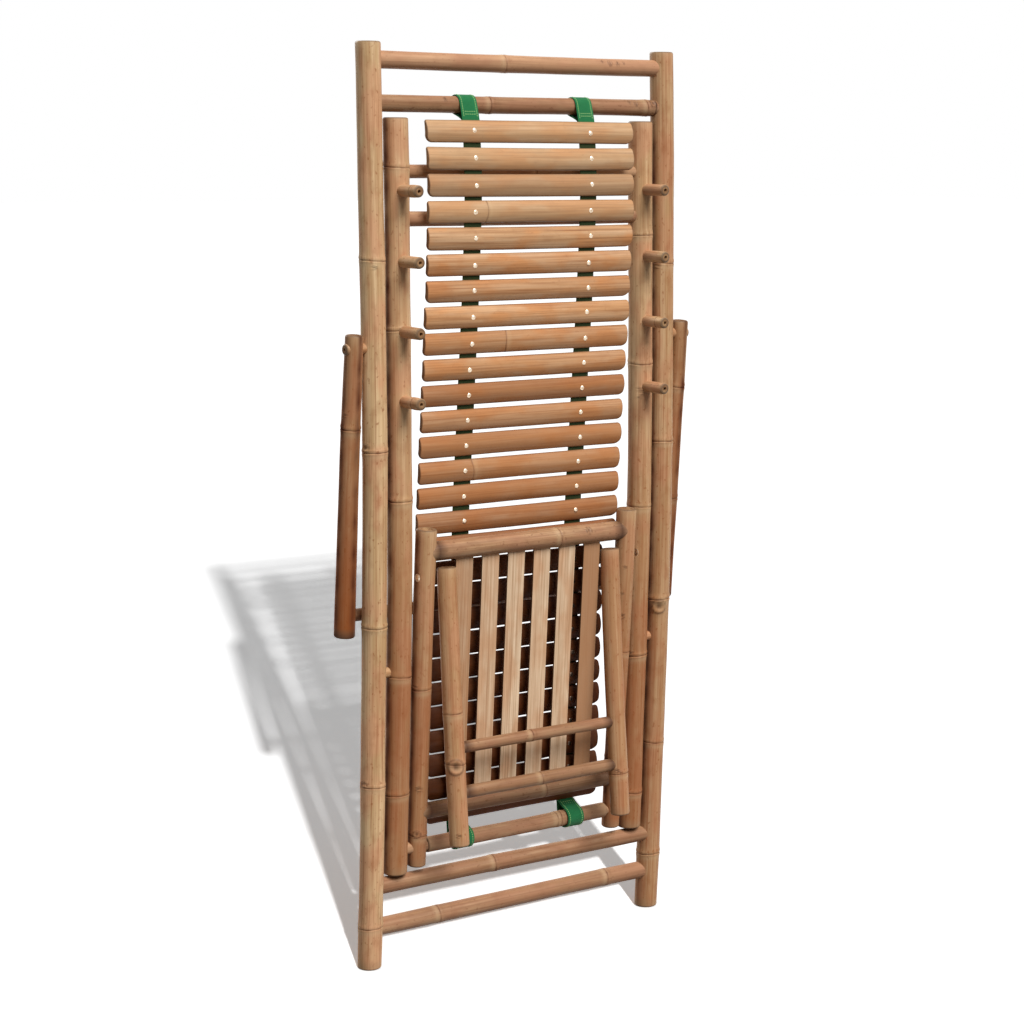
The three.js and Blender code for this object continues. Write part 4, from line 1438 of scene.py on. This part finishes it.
# %% Footrest rails
footrest_middle_radius = 0.015
footrest_face = footrest_x - footrest_middle_radius


def rail_in(place, node):
    """Where a leaning frame's rail lies, from its solid's box, as a matrix."""
    at = place.inverted() @ box_middle(node)
    return place @ Matrix.Translation((0, at.y, at.z))


footrest_rails = (
    ("footrest_top_rail", 0.0515, (0.25, 0.1, 0), ((0.104, 235, 0.005),)),
    ("footrest_bottom_rail", 0.045, (0.6, 0.1, 0), ()),
)
for number, (node, x, tint, scars) in enumerate(footrest_rails):
    carried = rail_in(footrest_place, node)
    cross_rail(node, footrest_x, (x,), footrest_face, 73 + number, "footrest", tint, scars, carried)
print("footrest rails:", len(footrest_rails))

# %% Footrest slats
footrest_slat_width = 0.030
footrest_slat_thick = 0.006
footrest_slat_edge = 0.0042
footrest_slat_front = -0.0045
footrest_slat_corners = (0.0008, 0.0008)
footrest_slat_warp = 0.0004
footrest_node_step = 0.05
footrest_slat_tints = (
    (0.46, 0.2, 0),
    (0.12, 0.3, 0),
    (0, 0.1, 0),
    (0.02, 0.2, 0),
    (0, 0.15, 0),
    (0.65, 0.8, 0),
)
middle_number = (len(footrest_slat_tints) + 1) / 2
pith_outward = Matrix(((0, 0, 1, 0), (0, -1, 0, 0), (1, 0, 0, 0), (0, 0, 0, 1)))
for number, tint in enumerate(footrest_slat_tints, 1):
    node = f"footrest_slat_{number}"
    low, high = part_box(node)
    at = footrest_place.inverted() @ box_middle(node)
    shape = strip(
        (high.z - low.z) / math.cos(footrest_tilt),
        footrest_slat_width,
        footrest_slat_thick,
        footrest_slat_edge,
        footrest_slat_corners,
        seed=140 + number,
        warp=footrest_slat_warp * (-1) ** number,
        nodes=(footrest_node_step * (number - middle_number),),
        hollow=0.0,
    )
    place = footrest_place @ Matrix.Translation((at.x, footrest_slat_front, at.z)) @ pith_outward
    finishes = (slat_skin, pith, cut_end)
    dress(node + "_strip", moved(shape, place), finishes, node, "footrest", tint)
print("footrest slats:", len(footrest_slat_tints))

# %% [markdown]
# ## The footrest's leg
#
# The leg is a still smaller frame that hangs in front of the footrest from two steel pins, and swings
# down to the floor when the footrest is out. Its matrix is the footrest's with its own hinge and tilt
# put behind it, as a child joint is chained to its parent. The pins' round heads show on the outside of
# the footrest's poles.

# %% Footrest leg
leg_x = 0.1494
leg_radius = 0.015
leg_above, leg_below = 0.011, 0.406
leg_hinge = Matrix.Translation((0, -0.007, 0.418))
leg_tilt = math.radians(-8.4)
leg_place = footrest_place @ leg_hinge @ Matrix.Rotation(leg_tilt, 4, "X")
leg_poles = {
    "left": {
        "nodes": (-0.282, -0.206),
        "scars": ((-0.285, 240, 0.011), (-0.388, 235, 0.0032)),
        "tint": (0.33, 0.1, 0.0),
    },
    "right": {
        "nodes": (-0.340,),
        "scars": ((-0.334, 225, 0.003), (-0.338, 245, 0.003)),
        "tint": (0.46, 0.2, 0.0),
    },
}
for number, (side, sign) in enumerate(sides):
    looks = leg_poles[side]
    shape = pole(looks, -leg_below, leg_above, leg_radius, 81 + number)
    shape = moved(shape, leg_place @ Matrix.Translation((sign * leg_x, 0, -leg_below)))
    dress_pole("leg_pole_" + side, shape, "footrest_leg", looks["tint"])

leg_face = leg_x - leg_radius
leg_rails = (("leg_rail_upper", -0.0144, (0.4, 0.2, 0)), ("leg_rail_lower", 0.0009, (0.52, 0.2, 0)))
for number, (node, x, tint) in enumerate(leg_rails):
    carried = rail_in(leg_place, node)
    cross_rail(node, leg_x, (x,), leg_face, 83 + number, "footrest_leg", tint, (), carried)
print("the leg is", round(leg_above + leg_below, 3), "m long")

# %% Leg pins' heads
pin_head_x = 0.2001
pin_head_radius, pin_head_height = 0.006, 0.002
for side, sign in sides:
    head = button(pin_head_radius, pin_head_height, head_profile, 3, sides=24)
    facing_out = Matrix.Rotation(math.radians(90) * sign, 4, "Z")
    shape = moved(head, leg_place @ Matrix.Translation((sign * pin_head_x, 0, 0)) @ facing_out)
    dress("leg_pin_head_" + side, shape, (rivet_metal,), body="footrest_leg")
print("the pins' heads are", round(2000 * pin_head_radius), "mm wide")
